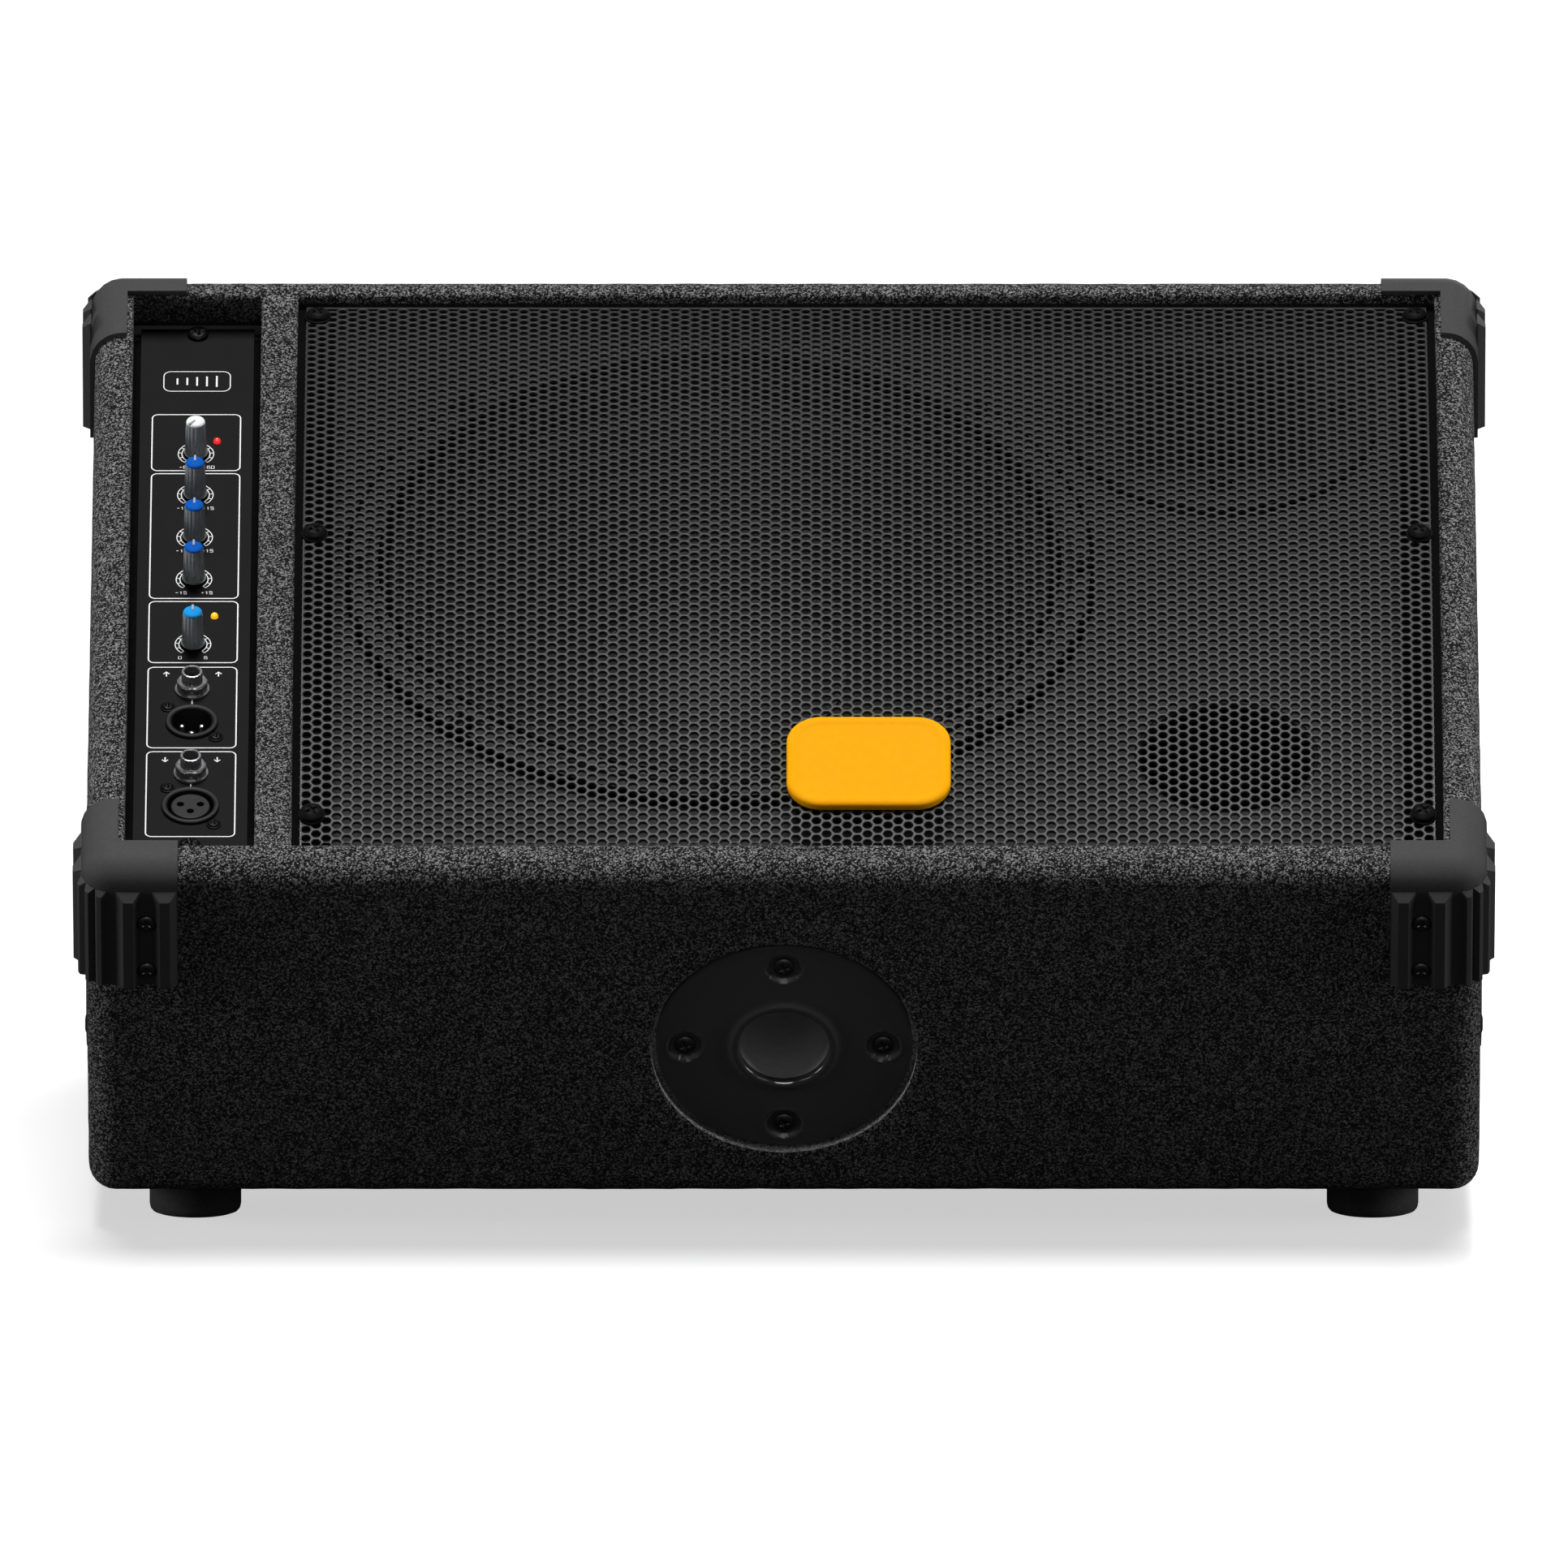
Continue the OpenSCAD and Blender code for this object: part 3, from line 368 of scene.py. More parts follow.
def speckled(name, noise, stops, bump=None, **inputs):
    """Material coloured by noise, with the given inputs and an optional bump."""
    m, nt, b, tc = principled(name)
    n = noise_node(nt, tc, *noise)
    ramp(nt, b, n.outputs["Fac"], stops)
    put(b, **inputs)
    if bump:
        relief(nt, b, n.outputs["Fac"], *bump)
    return m


def led_material(name, col):
    return speckled(name, (800, 2.0), [(0.2, tuple(c * 0.85 for c in col)), (0.8, col)],
                    Roughness=0.25, Coat_Weight=0.5, Emission_Color=(*col, 1),
                    Emission_Strength=0.9)


def knob_sheen_material():
    """Smoky plastic with painted sheen: base colour darker where it faces the eye and paler where
    seen edge-on, as painted edge highlights.
    """
    m, nt, b, tc = principled("knob_grey")
    face = nt.nodes.new("ShaderNodeLayerWeight")
    put(face, Blend=0.42)
    # painted sheen: the facing ramp lightens the base colour towards grazing angles
    r = ramp(nt, b, face.outputs["Facing"],
             [(0.1, (0.42, 0.46, 0.5)), (0.5, (0.68, 0.72, 0.76)), (0.9, (0.95, 0.96, 0.97))])
    n = noise_node(nt, tc, 600, 3.0)
    tint = nt.nodes.new("ShaderNodeMixRGB")
    tint.blend_type = "MULTIPLY"
    put(tint, Fac=0.35)
    nt.links.new(r.outputs["Color"], tint.inputs["Color1"])
    nt.links.new(n.outputs["Fac"], tint.inputs["Color2"])
    nt.links.new(tint.outputs["Color"], b.inputs["Base Color"])
    put(b, Roughness=0.16, Coat_Weight=1.0)
    return m


# colour, roughness, noise scale, colour variation, bump, bump distance in metres, the rest
FINISHES = {
    "guard": ((0.056, 0.056, 0.058), 0.62, 900, 0.08, 0.25, 0.0002,
              dict(specular=0.08, edge=0.0004)),
    "rubber": (grey(0.045), 0.8, 700, 0.15, 0.2, 0.0002, dict(specular=0.1, edge=0.0004)),
    "black_plastic": (grey(0.012), 0.5, 900, 0.1, 0.12, 0.0001, dict(specular=0.15, edge=0.0004)),
    "horn_plastic": (grey(0.024), 0.5, 900, 0.1, 0.12, 0.0001, dict(specular=0.15, edge=0.0004)),
    "screw_black": (grey(0.005), 0.5, 500, 0.2, 0.1, 0.0001, dict(specular=0.04, edge=0.0001)),
    "panel_screw": (grey(0.0025), 0.4, 500, 0.2, 0.1, 0.0001, dict(specular=0.08, edge=0.0001)),
    "case_screw": (grey(0.012), 0.4, 500, 0.2, 0.1, 0.0001, dict(specular=0.3, edge=0.0001)),
    "grille_metal": (grey(0.028), 0.42, 1500, 0.12, 0.12, 0.00006, dict(specular=0.2)),
    "amber": ((0.93, 0.395, 0.002), 0.55, 300, 0.02, 0.02, 0.00005, dict(specular=0.02)),
    "frame_metal": (grey(0.04), 0.5, 800, 0.1, 0.1, 0.0001, dict(specular=0.3, edge=0.0005)),
    "steel": ((0.5, 0.5, 0.52), 0.35, 250, 0.08, 0.08, 0.0001, dict(metallic=1.0, edge=0.0004)),
    "ferrite": ((0.03, 0.03, 0.033), 0.6, 300, 0.15, 0.2, 0.0003, dict(edge=0.0006)),
    "cone_paper": (grey(0.036), 0.5, 350, 0.2, 0.25, 0.0003, dict(specular=0.22)),
    "spider_cloth": ((0.5, 0.28, 0.08), 0.85, 1200, 0.2, 0.5, 0.0004, {}),
    "copper": ((0.72, 0.32, 0.14), 0.3, 600, 0.1, 0.1, 0.0001, dict(metallic=1.0)),
    "alu": ((0.7, 0.71, 0.73), 0.32, 400, 0.05, 0.08, 0.0001, dict(metallic=1.0, edge=0.0003)),
    "panel_paint": (grey(0.0105), 0.55, 900, 0.05, 0.05, 0.00004, dict(specular=0.03, edge=0.0004)),
    "amp_paint": (grey(0.04), 0.5, 900, 0.05, 0.08, 0.00005, dict(specular=0.3, edge=0.0004)),
    "board": ((0.012, 0.11, 0.045), 0.4, 120, 0.3, 0.1, 0.0002, dict(edge=0.0002)),
    "cup_plastic": (grey(0.085), 0.45, 900, 0.06, 0.05, 0.00005, dict(specular=0.3, edge=0.0002)),
    # pale grey base colour for the shaded bore: painted reflection of light
    "cup_bore_painted_light": (grey(0.72), 0.16, 300, 0.06, 0.02, 0.00003, dict(coat=0.8)),
    "cup_lip": (grey(0.07), 0.1, 300, 0.06, 0.02, 0.00003, dict(specular=0.9, rough_vary=0.02)),
    "cap_white": (grey(0.85), 0.5, 400, 0.03, 0.03, 0.00005, dict(specular=0.2)),
    "cap_blue": ((0.003, 0.095, 0.47), 0.55, 400, 0.05, 0.03, 0.00005, dict(specular=0.03)),
    "cap_sky": ((0.012, 0.29, 0.72), 0.55, 400, 0.05, 0.03, 0.00005, dict(specular=0.03)),
    "pointer": ((0.3, 0.33, 0.36), 0.5, 400, 0.05, 0.03, 0.00005, {}),
    "pin_silver": (grey(0.8), 0.2, 400, 0.05, 0.03, 0.00005, dict(metallic=1.0)),
    "print": (grey(0.9), 0.55, 900, 0.03, 0.03, 0.00003, {}),
    "void": (grey(0.003), 0.9, 400, 0.2, 0.1, 0.0001, dict(specular=0.02)),
}
MAT = {name: simple(name, *base, **rest) for name, (*base, rest) in FINISHES.items()}
MAT["carpet"] = carpet_material("carpet", grey(0.0015), grey(0.009), grey(0.31))
# dark copy of the carpet: painted shade for the grille recess walls and the felt at the top of the
# control recess
MAT["lining"] = carpet_material("lining", grey(0.001), grey(0.004), grey(0.035))
# pale copy of the carpet: painted light for the edge round the pole socket
MAT["carpet_painted_light"] = carpet_material("carpet_painted_light", grey(0.1), grey(0.7), grey(1.0))
MAT["plywood"] = wood_material("plywood", (0.42, 0.27, 0.13), (0.6, 0.44, 0.26))
MAT["black_wood"] = wood_material("black_wood", grey(0.032), grey(0.048))
MAT["knob_grey"] = knob_sheen_material()
MAT["nut"] = speckled("nut", (500, 3.0), [(0.3, (0.2, 0.2, 0.21)), (0.7, (0.34, 0.34, 0.35))],
                      Roughness=0.2, Metallic=0.25, Coat_Weight=1.0, Coat_Roughness=0.05)
MAT["red_led"] = led_material("red_led", (0.9, 0.02, 0.02))
MAT["amber_led"] = led_material("amber_led", (1.0, 0.5, 0.01))
MAT["wadding"] = speckled("wadding", (160, 6.0, 0.7),
                          [(0.3, (0.5, 0.48, 0.43)), (0.7, (0.8, 0.78, 0.72))],
                          (1.0, 0.003), Roughness=1.0)

# every CAD node starts with its record slot's finish; pieces below replace the ones that show
slot_of = {s["node"]: s["material_slot"] for s in frame["record"]["subparts"]}
# finishes that differ from the slot: battens in near-black as painted shade, blackened board edges,
# painted rear plate
SHOWN_AS = {"battens": "void", "rear_panel": "black_wood", "front_panel": "black_wood",
            "amp_plate": "amp_paint"}
for name, ob in nodes.items():
    ob.data.materials.clear()
    ob.data.materials.append(MAT[SHOWN_AS.get(name, slot_of[name])])
def shading_group():
    """Modifier that welds a CAD node and shades it smooth except across real edges."""
    g = bpy.data.node_groups.new("cad_shading", "GeometryNodeTree")
    g.interface.new_socket("Geometry", in_out="INPUT", socket_type="NodeSocketGeometry")
    g.interface.new_socket("Geometry", in_out="OUTPUT", socket_type="NodeSocketGeometry")
    gin, gout = g.nodes.new("NodeGroupInput"), g.nodes.new("NodeGroupOutput")
    weld = g.nodes.new("GeometryNodeMergeByDistance")
    weld.inputs["Distance"].default_value = 0.00001
    drop = g.nodes.new("GeometryNodeRemoveAttribute")
    drop.inputs["Name"].default_value = "custom_normal"
    soft = g.nodes.new("GeometryNodeSetShadeSmooth")
    soft.domain = "FACE"
    angle = g.nodes.new("GeometryNodeInputMeshEdgeAngle")
    above = g.nodes.new("FunctionNodeCompare")
    above.data_type = "FLOAT"
    above.operation = "GREATER_THAN"
    above.inputs[1].default_value = math.radians(32)
    hard = g.nodes.new("GeometryNodeSetShadeSmooth")
    hard.domain = "EDGE"
    hard.inputs["Shade Smooth"].default_value = False
    chain = (gin, weld, drop, soft, hard, gout)
    for a, b in zip(chain[:-1], chain[1:]):
        g.links.new(a.outputs[0], b.inputs[0])
    g.links.new(angle.outputs["Unsigned Angle"], above.inputs[0])
    g.links.new(above.outputs["Result"], hard.inputs["Selection"])
    return g


CAD_SHADING = shading_group()
for ob in nodes.values():
    md = ob.modifiers.new("shading", "NODES")
    md.node_group = CAD_SHADING

# ---------- carpet ----------

# outline of the box seen from the side, from the front edge over the top to the toe
corner_pts = [(FRONT_Y, RIM_Z), (REAR_Y, REAR_Z), (HEEL_Y, FOOT_H), (TOE_Y, FOOT_H)]
normal_deg = [118.0, 14.0, -90.0, -152.0]  # sloping face, rear, underside, front
normal_vec = [np.array([math.cos(math.radians(a)), math.sin(math.radians(a))]) for a in normal_deg]
TOP, BACK, FACE = 0, 1, 3  # faces with openings


def core(i):
    a, b = normal_vec[i - 1], normal_vec[i]
    return np.array(corner_pts[i]) - EDGE * (a + b) / (1 + a @ b)


cores = [core(i) for i in range(4)]
PILE = 0.045  # unevenness of the carpet
WAVES = 26
waves = rng.normal(size=(WAVES, 3))
waves /= np.linalg.norm(waves, axis=1)[:, None]
waves *= (2 * math.pi / rng.uniform(7.0, 26.0, WAVES))[:, None]
phases = rng.uniform(0, 6.28, WAVES)


def lumps(p, amount=PILE):
    return amount * np.sin(p @ waves.T + phases).sum(1) / math.sqrt(WAVES / 2)


def spaced(stops, step):
    """Grid lines through every stop with roughly equal steps between."""
    out = []
    for a, b in zip(stops[:-1], stops[1:]):
        k = max(1, int(round((b - a) / step)))
        out += list(np.linspace(a, b, k, endpoint=False))
    return out + [stops[-1]]


OPEN_U = (18.5, 377.5)
CTRL_X = (-264.5, -212.5)
GRILLE_X = (-197.5, 264.5)
ROLL = 2.0
windows = [(CTRL_X, OPEN_U), (GRILLE_X, OPEN_U)]
PATCH = 62.0
AMP = (-111.0, 111.0, 69.0, 261.0)
SIDE_X = BODY_W / 2 - EDGE

xs = spaced([-SIDE_X, CTRL_X[0] - ROLL, -222, CTRL_X[1] + ROLL, GRILLE_X[0] - ROLL, -AMP[1],
             -PATCH, PATCH, AMP[1], GRILLE_X[1] + ROLL, SIDE_X], 4.0)
arc = [math.radians(a) for a in np.linspace(0, 90, 7)]
cols = ([(-SIDE_X, -a) for a in arc[::-1][:-1]] + [(x, 0.0) for x in xs]
        + [(SIDE_X, a) for a in arc[1:]])

rows = []  # (core y, core z, normal angle, face, distance along the face)
turn_from = [normal_deg[-1] + 360] + normal_deg[:-1]
tangent = [EDGE * math.tan(math.radians((a - b) / 2)) for a, b in zip(turn_from, normal_deg)]
face_stops = [[OPEN_U[0] - ROLL, OPEN_U[1] + ROLL], [AMP[2], AMP[3]], [],
              [FRONT_H - POLE_H - PATCH, FRONT_H - POLE_H + PATCH]]
for i in range(4):
    for t in np.linspace(0, 1, 9)[:-1]:
        rows.append((*cores[i], turn_from[i] + (normal_deg[i] - turn_from[i]) * t, -1, 0.0))
    a, b = cores[i], cores[(i + 1) % 4]
    length = np.linalg.norm(b - a)
    stops = [tangent[i]] + face_stops[i] + [tangent[i] + length]
    for d in spaced(stops, 4.0 if i in (TOP, FACE) else 7.0):
        c = a + (b - a) * (d - tangent[i]) / length
        rows.append((c[0], c[1], normal_deg[i], i, d))

R = np.array(rows)
Cc = np.array(cols)
ang = np.radians(R[:, 2])[:, None]
phi = Cc[:, 1][None, :]
ny, nz, nx = np.cos(ang) * np.cos(phi), np.sin(ang) * np.cos(phi), np.sin(phi) + 0 * ang
N = np.stack([nx, ny, nz], 2)
P = np.stack([Cc[:, 0][None, :] + 0 * ang, R[:, 0][:, None] + 0 * phi,
              R[:, 1][:, None] + 0 * phi], 2) + EDGE * N
nr, nc = P.shape[:2]
flat = P.reshape(-1, 3)
flat = flat + N.reshape(-1, 3) * lumps(flat)[:, None]
carpet_faces = []
face_id, dist = R[:, 3].astype(int), R[:, 4]
col_x, col_phi = Cc[:, 0], Cc[:, 1]


def cut_out(i, i2, j):
    """True where the band is open: the two recesses, the pole socket patch and the rear plate."""
    if face_id[i] != face_id[i2] or col_phi[j] != 0 or col_phi[j + 1] != 0:
        return False
    x, d = (col_x[j] + col_x[j + 1]) / 2, (dist[i] + dist[i2]) / 2
    if face_id[i] == TOP:
        return any(wx[0] - ROLL < x < wx[1] + ROLL and wu[0] - ROLL < d < wu[1] + ROLL
                   for wx, wu in windows)
    if face_id[i] == BACK:
        return AMP[0] < x < AMP[1] and AMP[2] < d < AMP[3]
    if face_id[i] == FACE:
        return abs(x) < PATCH and abs(FRONT_H - d - POLE_H) < PATCH
    return False


for i in range(nr):
    i2 = (i + 1) % nr
    for j in range(nc - 1):
        if not cut_out(i, i2, j):
            carpet_faces.append([i * nc + j, i * nc + j + 1, i2 * nc + j + 1, i2 * nc + j])

carpet = Soup()
carpet.add(flat, carpet_faces)

# side faces, each a grid between the four cores with an opening for the handle
gu, gv = np.linspace(0, 1, 84), np.linspace(0, 1, 60)
U, V = np.meshgrid(gu, gv, indexing="ij")
U, V = U[..., None], V[..., None]
for s in (-1, 1):
    a, b, c, d = cores
    yz = (1 - U) * (1 - V) * a + U * (1 - V) * b + U * V * c + (1 - U) * V * d
    pts = np.concatenate([np.full(yz.shape[:2] + (1,), s * BODY_W / 2), yz], 2)
    q = pts.reshape(-1, 3)
    q = q + np.array([s, 0, 0]) * lumps(q)[:, None]
    fs = []
    for i in range(len(gu) - 1):
        for j in range(len(gv) - 1):
            m = (pts[i, j] + pts[i + 1, j + 1]) / 2
            if abs(m[1] - HANDLE_Y) >= 84 or abs(m[2] - HANDLE_Z) >= 38:
                k = i * len(gv) + j
                fs.append([k, k + len(gv), k + len(gv) + 1, k + 1])
    carpet.add(q, fs)


def grid_perimeter(x0, x1, d0, d1, lines_x, lines_d):
    px = [x for x in lines_x if x0 - 1e-6 <= x <= x1 + 1e-6]
    pd = [d for d in lines_d if d0 - 1e-6 <= d <= d1 + 1e-6]
    loop = [(x, d0) for x in px] + [(x1, d) for d in pd[1:]]
    loop += [(x, d1) for x in px[::-1][1:]] + [(x0, d) for d in pd[::-1][1:-1]]
    return np.array(loop)


# recess linings: the carpet rolls over each rim and runs down the walls
lining = Soup()
rim_u = [d for d, f in zip(dist, face_id) if f == TOP]
for wx, wu in windows:
    peri = grid_perimeter(wx[0] - ROLL, wx[1] + ROLL, wu[0] - ROLL, wu[1] + ROLL, xs, rim_u)
    prof = [(ROLL * math.sin(t), ROLL * math.cos(t) - ROLL)
            for t in np.radians(np.linspace(0, 90, 6))]
    walls = [(ROLL, z) for z in np.linspace(-4, -14.8, 4)] + [(ROLL, -17.0)] * (wx is CTRL_X)

    def ring_at(k, z):
        x = np.clip(peri[:, 0], wx[0] - ROLL + k, wx[1] + ROLL - k)
        u = np.clip(peri[:, 1], wu[0] - ROLL + k, wu[1] + ROLL - k)
        p = world(BAFFLE, np.stack([x, u, np.full(len(x), z)], 1))
        lift = lumps(p) * (1 if k == 0 else 0.5)
        return p + np.outer(lift, BAFFLE[:3, 2]) * (1 if z > -3 else 0)

    shown = prof + (walls[:1] if wx is GRILLE_X else walls)
    carpet.add(*loft([ring_at(k, z) for k, z in shown], caps=OPEN))
    # the grille recess walls take the dark carpet copy as painted shade
    if wx is GRILLE_X:
        lining.add(*loft([ring_at(k, z) for k, z in walls], caps=OPEN))

# pole socket: grid square narrowing to a round rolled rim
front_h = [FRONT_H - d for d, f in zip(dist, face_id) if f == FACE][::-1]
peri = grid_perimeter(-PATCH, PATCH, POLE_H - PATCH, POLE_H + PATCH, xs, front_h)
rel = peri - np.array([0, POLE_H])
unit = rel / np.linalg.norm(rel, axis=1)[:, None]
CUT_R = 53.4


def on_front(q, z):
    """Points round the pole socket, z above the front face."""
    return world(FRONT, np.stack([q[:, 0], -(q[:, 1] + POLE_H), np.full(len(q), z)], 1))


loops = []
for t in np.linspace(0, 1, 5):
    p = on_front(rel * (1 - t) + unit * (CUT_R + ROLL) * t, 0.0)
    loops.append(p + np.outer(lumps(p), FRONT[:3, 2]))
for a in np.radians([25, 50, 75]):
    loops.append(on_front(unit * (CUT_R + ROLL - ROLL * math.sin(a)), ROLL * math.cos(a) - ROLL))
carpet.add(*loft(loops, caps=OPEN))
# edge of the carpet round the socket, coloured pale as painted light where light falls on the rim
painted_light_edge = [loops[-1]] + [on_front(unit * r, -6.7) for r in (CUT_R, 49.5)]
piece("carpet_edge_painted_light", "carpet_painted_light", (loft(painted_light_edge, caps=OPEN), None),
      slot="carpet", sharp=70)

carpet.build("carpet", "carpet", node="carpet_cover", slot="carpet", sharp=70, fix=False)
lining.build("recess_lining", "lining", slot="carpet", sharp=70)

# ---------- screws ----------


def pan_head(r, h, n=40, rings=9, recess=0.9):
    """Pan head seen from above, with a cross recess pressed into a polar grid."""
    verts, loops = [], []
    for k in range(rings + 1):
        rho = r * math.sin(math.pi / 2 * (k + 0.35) / (rings + 0.35))
        c = circle(rho, 0, n)
        t = rho / r
        z = h * (1 - 0.5 * t ** 4)
        x, y = np.abs(c[:, 0]), np.abs(c[:, 1])
        arm, wide = 0.56 * r, 0.13 * r
        in_cross = ((x < wide) & (y < arm)) | ((y < wide) & (x < arm))
        c[:, 2] = np.where(in_cross, z - recess * (1 - t), z)
        loops.append(c)
    loops.append(circle(r * 0.99, 0.0, n))
    return loft(loops[::-1])


def shank(length):
    return lathe([(1.8, 0.1), (1.8, 2 - length), (0.4, -length)], 12)


def guard_spots():
    for s in (-1, 1):
        for h in (24, 48):
            yield FRONT @ move(s * (BODY_W / 2 - 24.4), -h, 2.2)
            yield REAR @ move(s * (BODY_W / 2 - 24.4), h, 2.2)


def handle_spots():
    for s in (-1, 1):
        for sx in (-1, 1):
            for sy in (-1, 0, 1):
                yield side(s) @ move(sx * 39.5, sy * 72, 1.5)


def foot_centres():
    for s in (-1, 1):
        for k in (0, 1):
            yield move(s * FOOT_X, TOE_Y + FOOT_INSET + k * FOOT_PITCH, 0)


case = Soup()
for spots, height in ((guard_spots(), 2.0), (handle_spots(), 0.8)):
    for m in spots:
        case.add(*pan_head(3.6, height), m)
        case.add(*shank(12), m)
for m in foot_centres():
    case.add(*pan_head(3.8, 2.2), m @ move(0, 0, 4) @ turn("x", 180))
for a in QUARTERS:
    m = FRONT @ move(POLE_SCREW_R * math.cos(a), -POLE_H + POLE_SCREW_R * math.sin(a), -4.6)
    case.add(*pan_head(4.2, 2.2, 48), m @ turn("z", 20))
case.build("case_screws_look", "case_screw", node="case_screws", slot="screw_black", sharp=50)

# ---------- feet ----------

FOOT = [(2, 14.98), (18.3, 14.98), (18.5, 14.2), (18.5, 3.4), (18.1, 1.6), (17.2, 0.5),
        (15.9, 0.02), (8.8, 0.02), (8.1, 0.5), (8, 1.4), (8, 4), (2, 4)]
piece("feet", "rubber", *[(lathe(FOOT, 72, wrap=True), m) for m in foot_centres()],
      node="rubber_feet", slot="rubber", sharp=45)

# ---------- pole socket ----------

SOCKET = FRONT @ move(0, -POLE_H, 0)
na = 192
around = np.linspace(0, 2 * math.pi, na, endpoint=False)
# radius and height of the flange's face, from the lip at the bore to the outer edge
FLANGE = ([(18.0, -3.0), (18.2, -2.3), (18.8, -1.75), (19.8, -1.6), (20.8, -1.7), (21.6, -2.1),
           (22.4, -2.6), (23.4, -2.8)] + [(r, -2.8) for r in np.linspace(25, 50.2, 35)]
          + [(50.9, -2.95), (51.3, -3.3), (FLANGE_R, -3.9)])


def flange_loop(r, height):
    """Ring of the flange's face, dished round the four screws."""
    x, y = r * np.cos(around), r * np.sin(around)
    z = np.full(na, height)
    for a in QUARTERS:
        d = np.hypot(x - POLE_SCREW_R * math.cos(a), y - POLE_SCREW_R * math.sin(a))
        rim = 0.35 * np.exp(-((d - 7.6) / 0.55) ** 2)
        dish = np.clip((7.1 - d) / 1.0, 0, 1)
        z = z + rim - 1.8 * dish * dish * (3 - 2 * dish)
    return np.stack([x, y, z], 1)


bore = [circle(r, z, na) for r, z in ((0.5, -80), (10, -80), (17.2, -80), (17.9, -79), (18, -70),
                                      (18, -30), (18, -5))]
face = [flange_loop(r, z) for r, z in FLANGE]
LIP = 5  # the first loops of the face are the glossy lip
lip = [bore[-1]] + face[:LIP]
body = face[LIP - 1:] + [circle(r, z, na) for r, z in ((FLANGE_R, -6.6), (21.2, -6.8), (21, -8),
                                                      (21, -83.4), (20.4, -84))]
piece("pole_socket", "cup_plastic", (loft(body, caps=(False, True)), SOCKET), node="pole_cup",
      slot="black_plastic", sharp=50, fix=False)
# the bore's pale base colour is painted light standing in for reflections
piece("pole_bore", "cup_bore_painted_light", (loft(bore, caps=(True, False)), SOCKET), slot="black_plastic",
      sharp=50, fix=False)
piece("pole_lip", "cup_lip", (loft(lip, caps=OPEN), SOCKET), slot="black_plastic",
      sharp=60, fix=False)

# ---------- side handles ----------

# width, height, corner radius and depth of the cup, from its rim inward and back outside
CUP = [(96, 190, 20, 0.0), (96, 190, 20, 1.0), (95.2, 189.2, 19.6, 1.5), (66, 156, 18, 1.5),
       (62.5, 152.5, 16.4, 1.2), (60, 150, 15.2, 0.2), (58.6, 148.6, 14.5, -1.6),
       (57, 147, 13.8, -26), (53, 143, 12.5, -30.5), (46, 136, 10, -32), (20, 110, 4, -32),
       (20, 110, 4, -34.9), (62, 152, 16, -34.9), (63.9, 153.9, 17, -33), (63.9, 153.9, 17, -0.5)]
handles = Soup()
for s in (-1, 1):
    handles.add(*loft([rrect(*ring, 8) for ring in CUP], wrap=True), side(s))
    handles.add(*box((-10.5, -55.5, -34.8), (10.5, 55.5, -31.99)), side(s))
handles.build("handles", "black_plastic", node="side_handles", slot="black_plastic", sharp=45)

# ---------- grille ----------

GU0, GU1 = OPEN_U[0] + 1.5, OPEN_U[1] - 2.5
GX0, GX1 = GRILLE_X[0] + 3.3, GRILLE_X[1] - 3.3
G_MID, G_HALF, G_BOW = (GU0 + GU1) / 2, (GU1 - GU0) / 2, 16.5
BOW_R = (G_HALF ** 2 + G_BOW ** 2) / (2 * G_BOW)
BOW_W = G_BOW - 4.0 - BOW_R
ARC = BOW_R * math.asin(G_HALF / BOW_R)


def bowed(x, s, z):
    """Point on the grille: across, along the arc from its middle, and above its outer skin."""
    t = s / BOW_R
    return np.stack([x, G_MID + (BOW_R + z) * np.sin(t), BOW_W + (BOW_R + z) * np.cos(t)], -1)


PITCH, HOLE_R, SHEET = 4.73, 1.84, 1.5
COL = PITCH * math.sqrt(3) / 2
k = 12
ang12 = np.radians(np.arange(k) * 360 / k)
cell_r = np.where(np.arange(k) % 2 == 0, PITCH / math.sqrt(3), PITCH / 2)
n_cols = int((GX1 - GX0 - 2 * (HOLE_R + 0.4)) / COL) + 1
x_start = (GX0 + GX1) / 2 - (n_cols - 1) * COL / 2
m_rows = int((ARC - 1.2 - PITCH / 2) / PITCH) + 1
centres = []
for i in range(n_cols):
    for j in range(-m_rows - 1, m_rows + 2):
        s = j * PITCH + (0 if i % 2 else PITCH / 2)
        if abs(s) < ARC - PITCH * 0.55:
            centres.append((x_start + i * COL, s))
centres = np.array(centres)
cx, cs = centres[:, 0][:, None], centres[:, 1][:, None]


def cell_ring(r, z):
    """Ring of every hexagonal cell at once, r from the hole's centre and z off the sheet."""
    return bowed(cx + r * np.cos(ang12), cs + r * np.sin(ang12), 0 * cx + z)


verts = np.stack([cell_ring(cell_r, 0.0), cell_ring(HOLE_R + 0.12, 0.0),
                  cell_ring(HOLE_R, -0.15), cell_ring(HOLE_R, -SHEET)], 1).reshape(-1, 3)
base = np.arange(len(centres))[:, None, None] * (4 * k)
i0 = np.arange(k)
i1 = (i0 + 1) % k
quads = []
for lvl in (0, 1, 2):
    q = np.stack([lvl * k + i0, lvl * k + i1, (lvl + 1) * k + i1, (lvl + 1) * k + i0], 1)
    quads.append((base + q[None]).reshape(-1, 4))
sheet = Soup()
sheet.add(verts, np.concatenate(quads), BAFFLE)


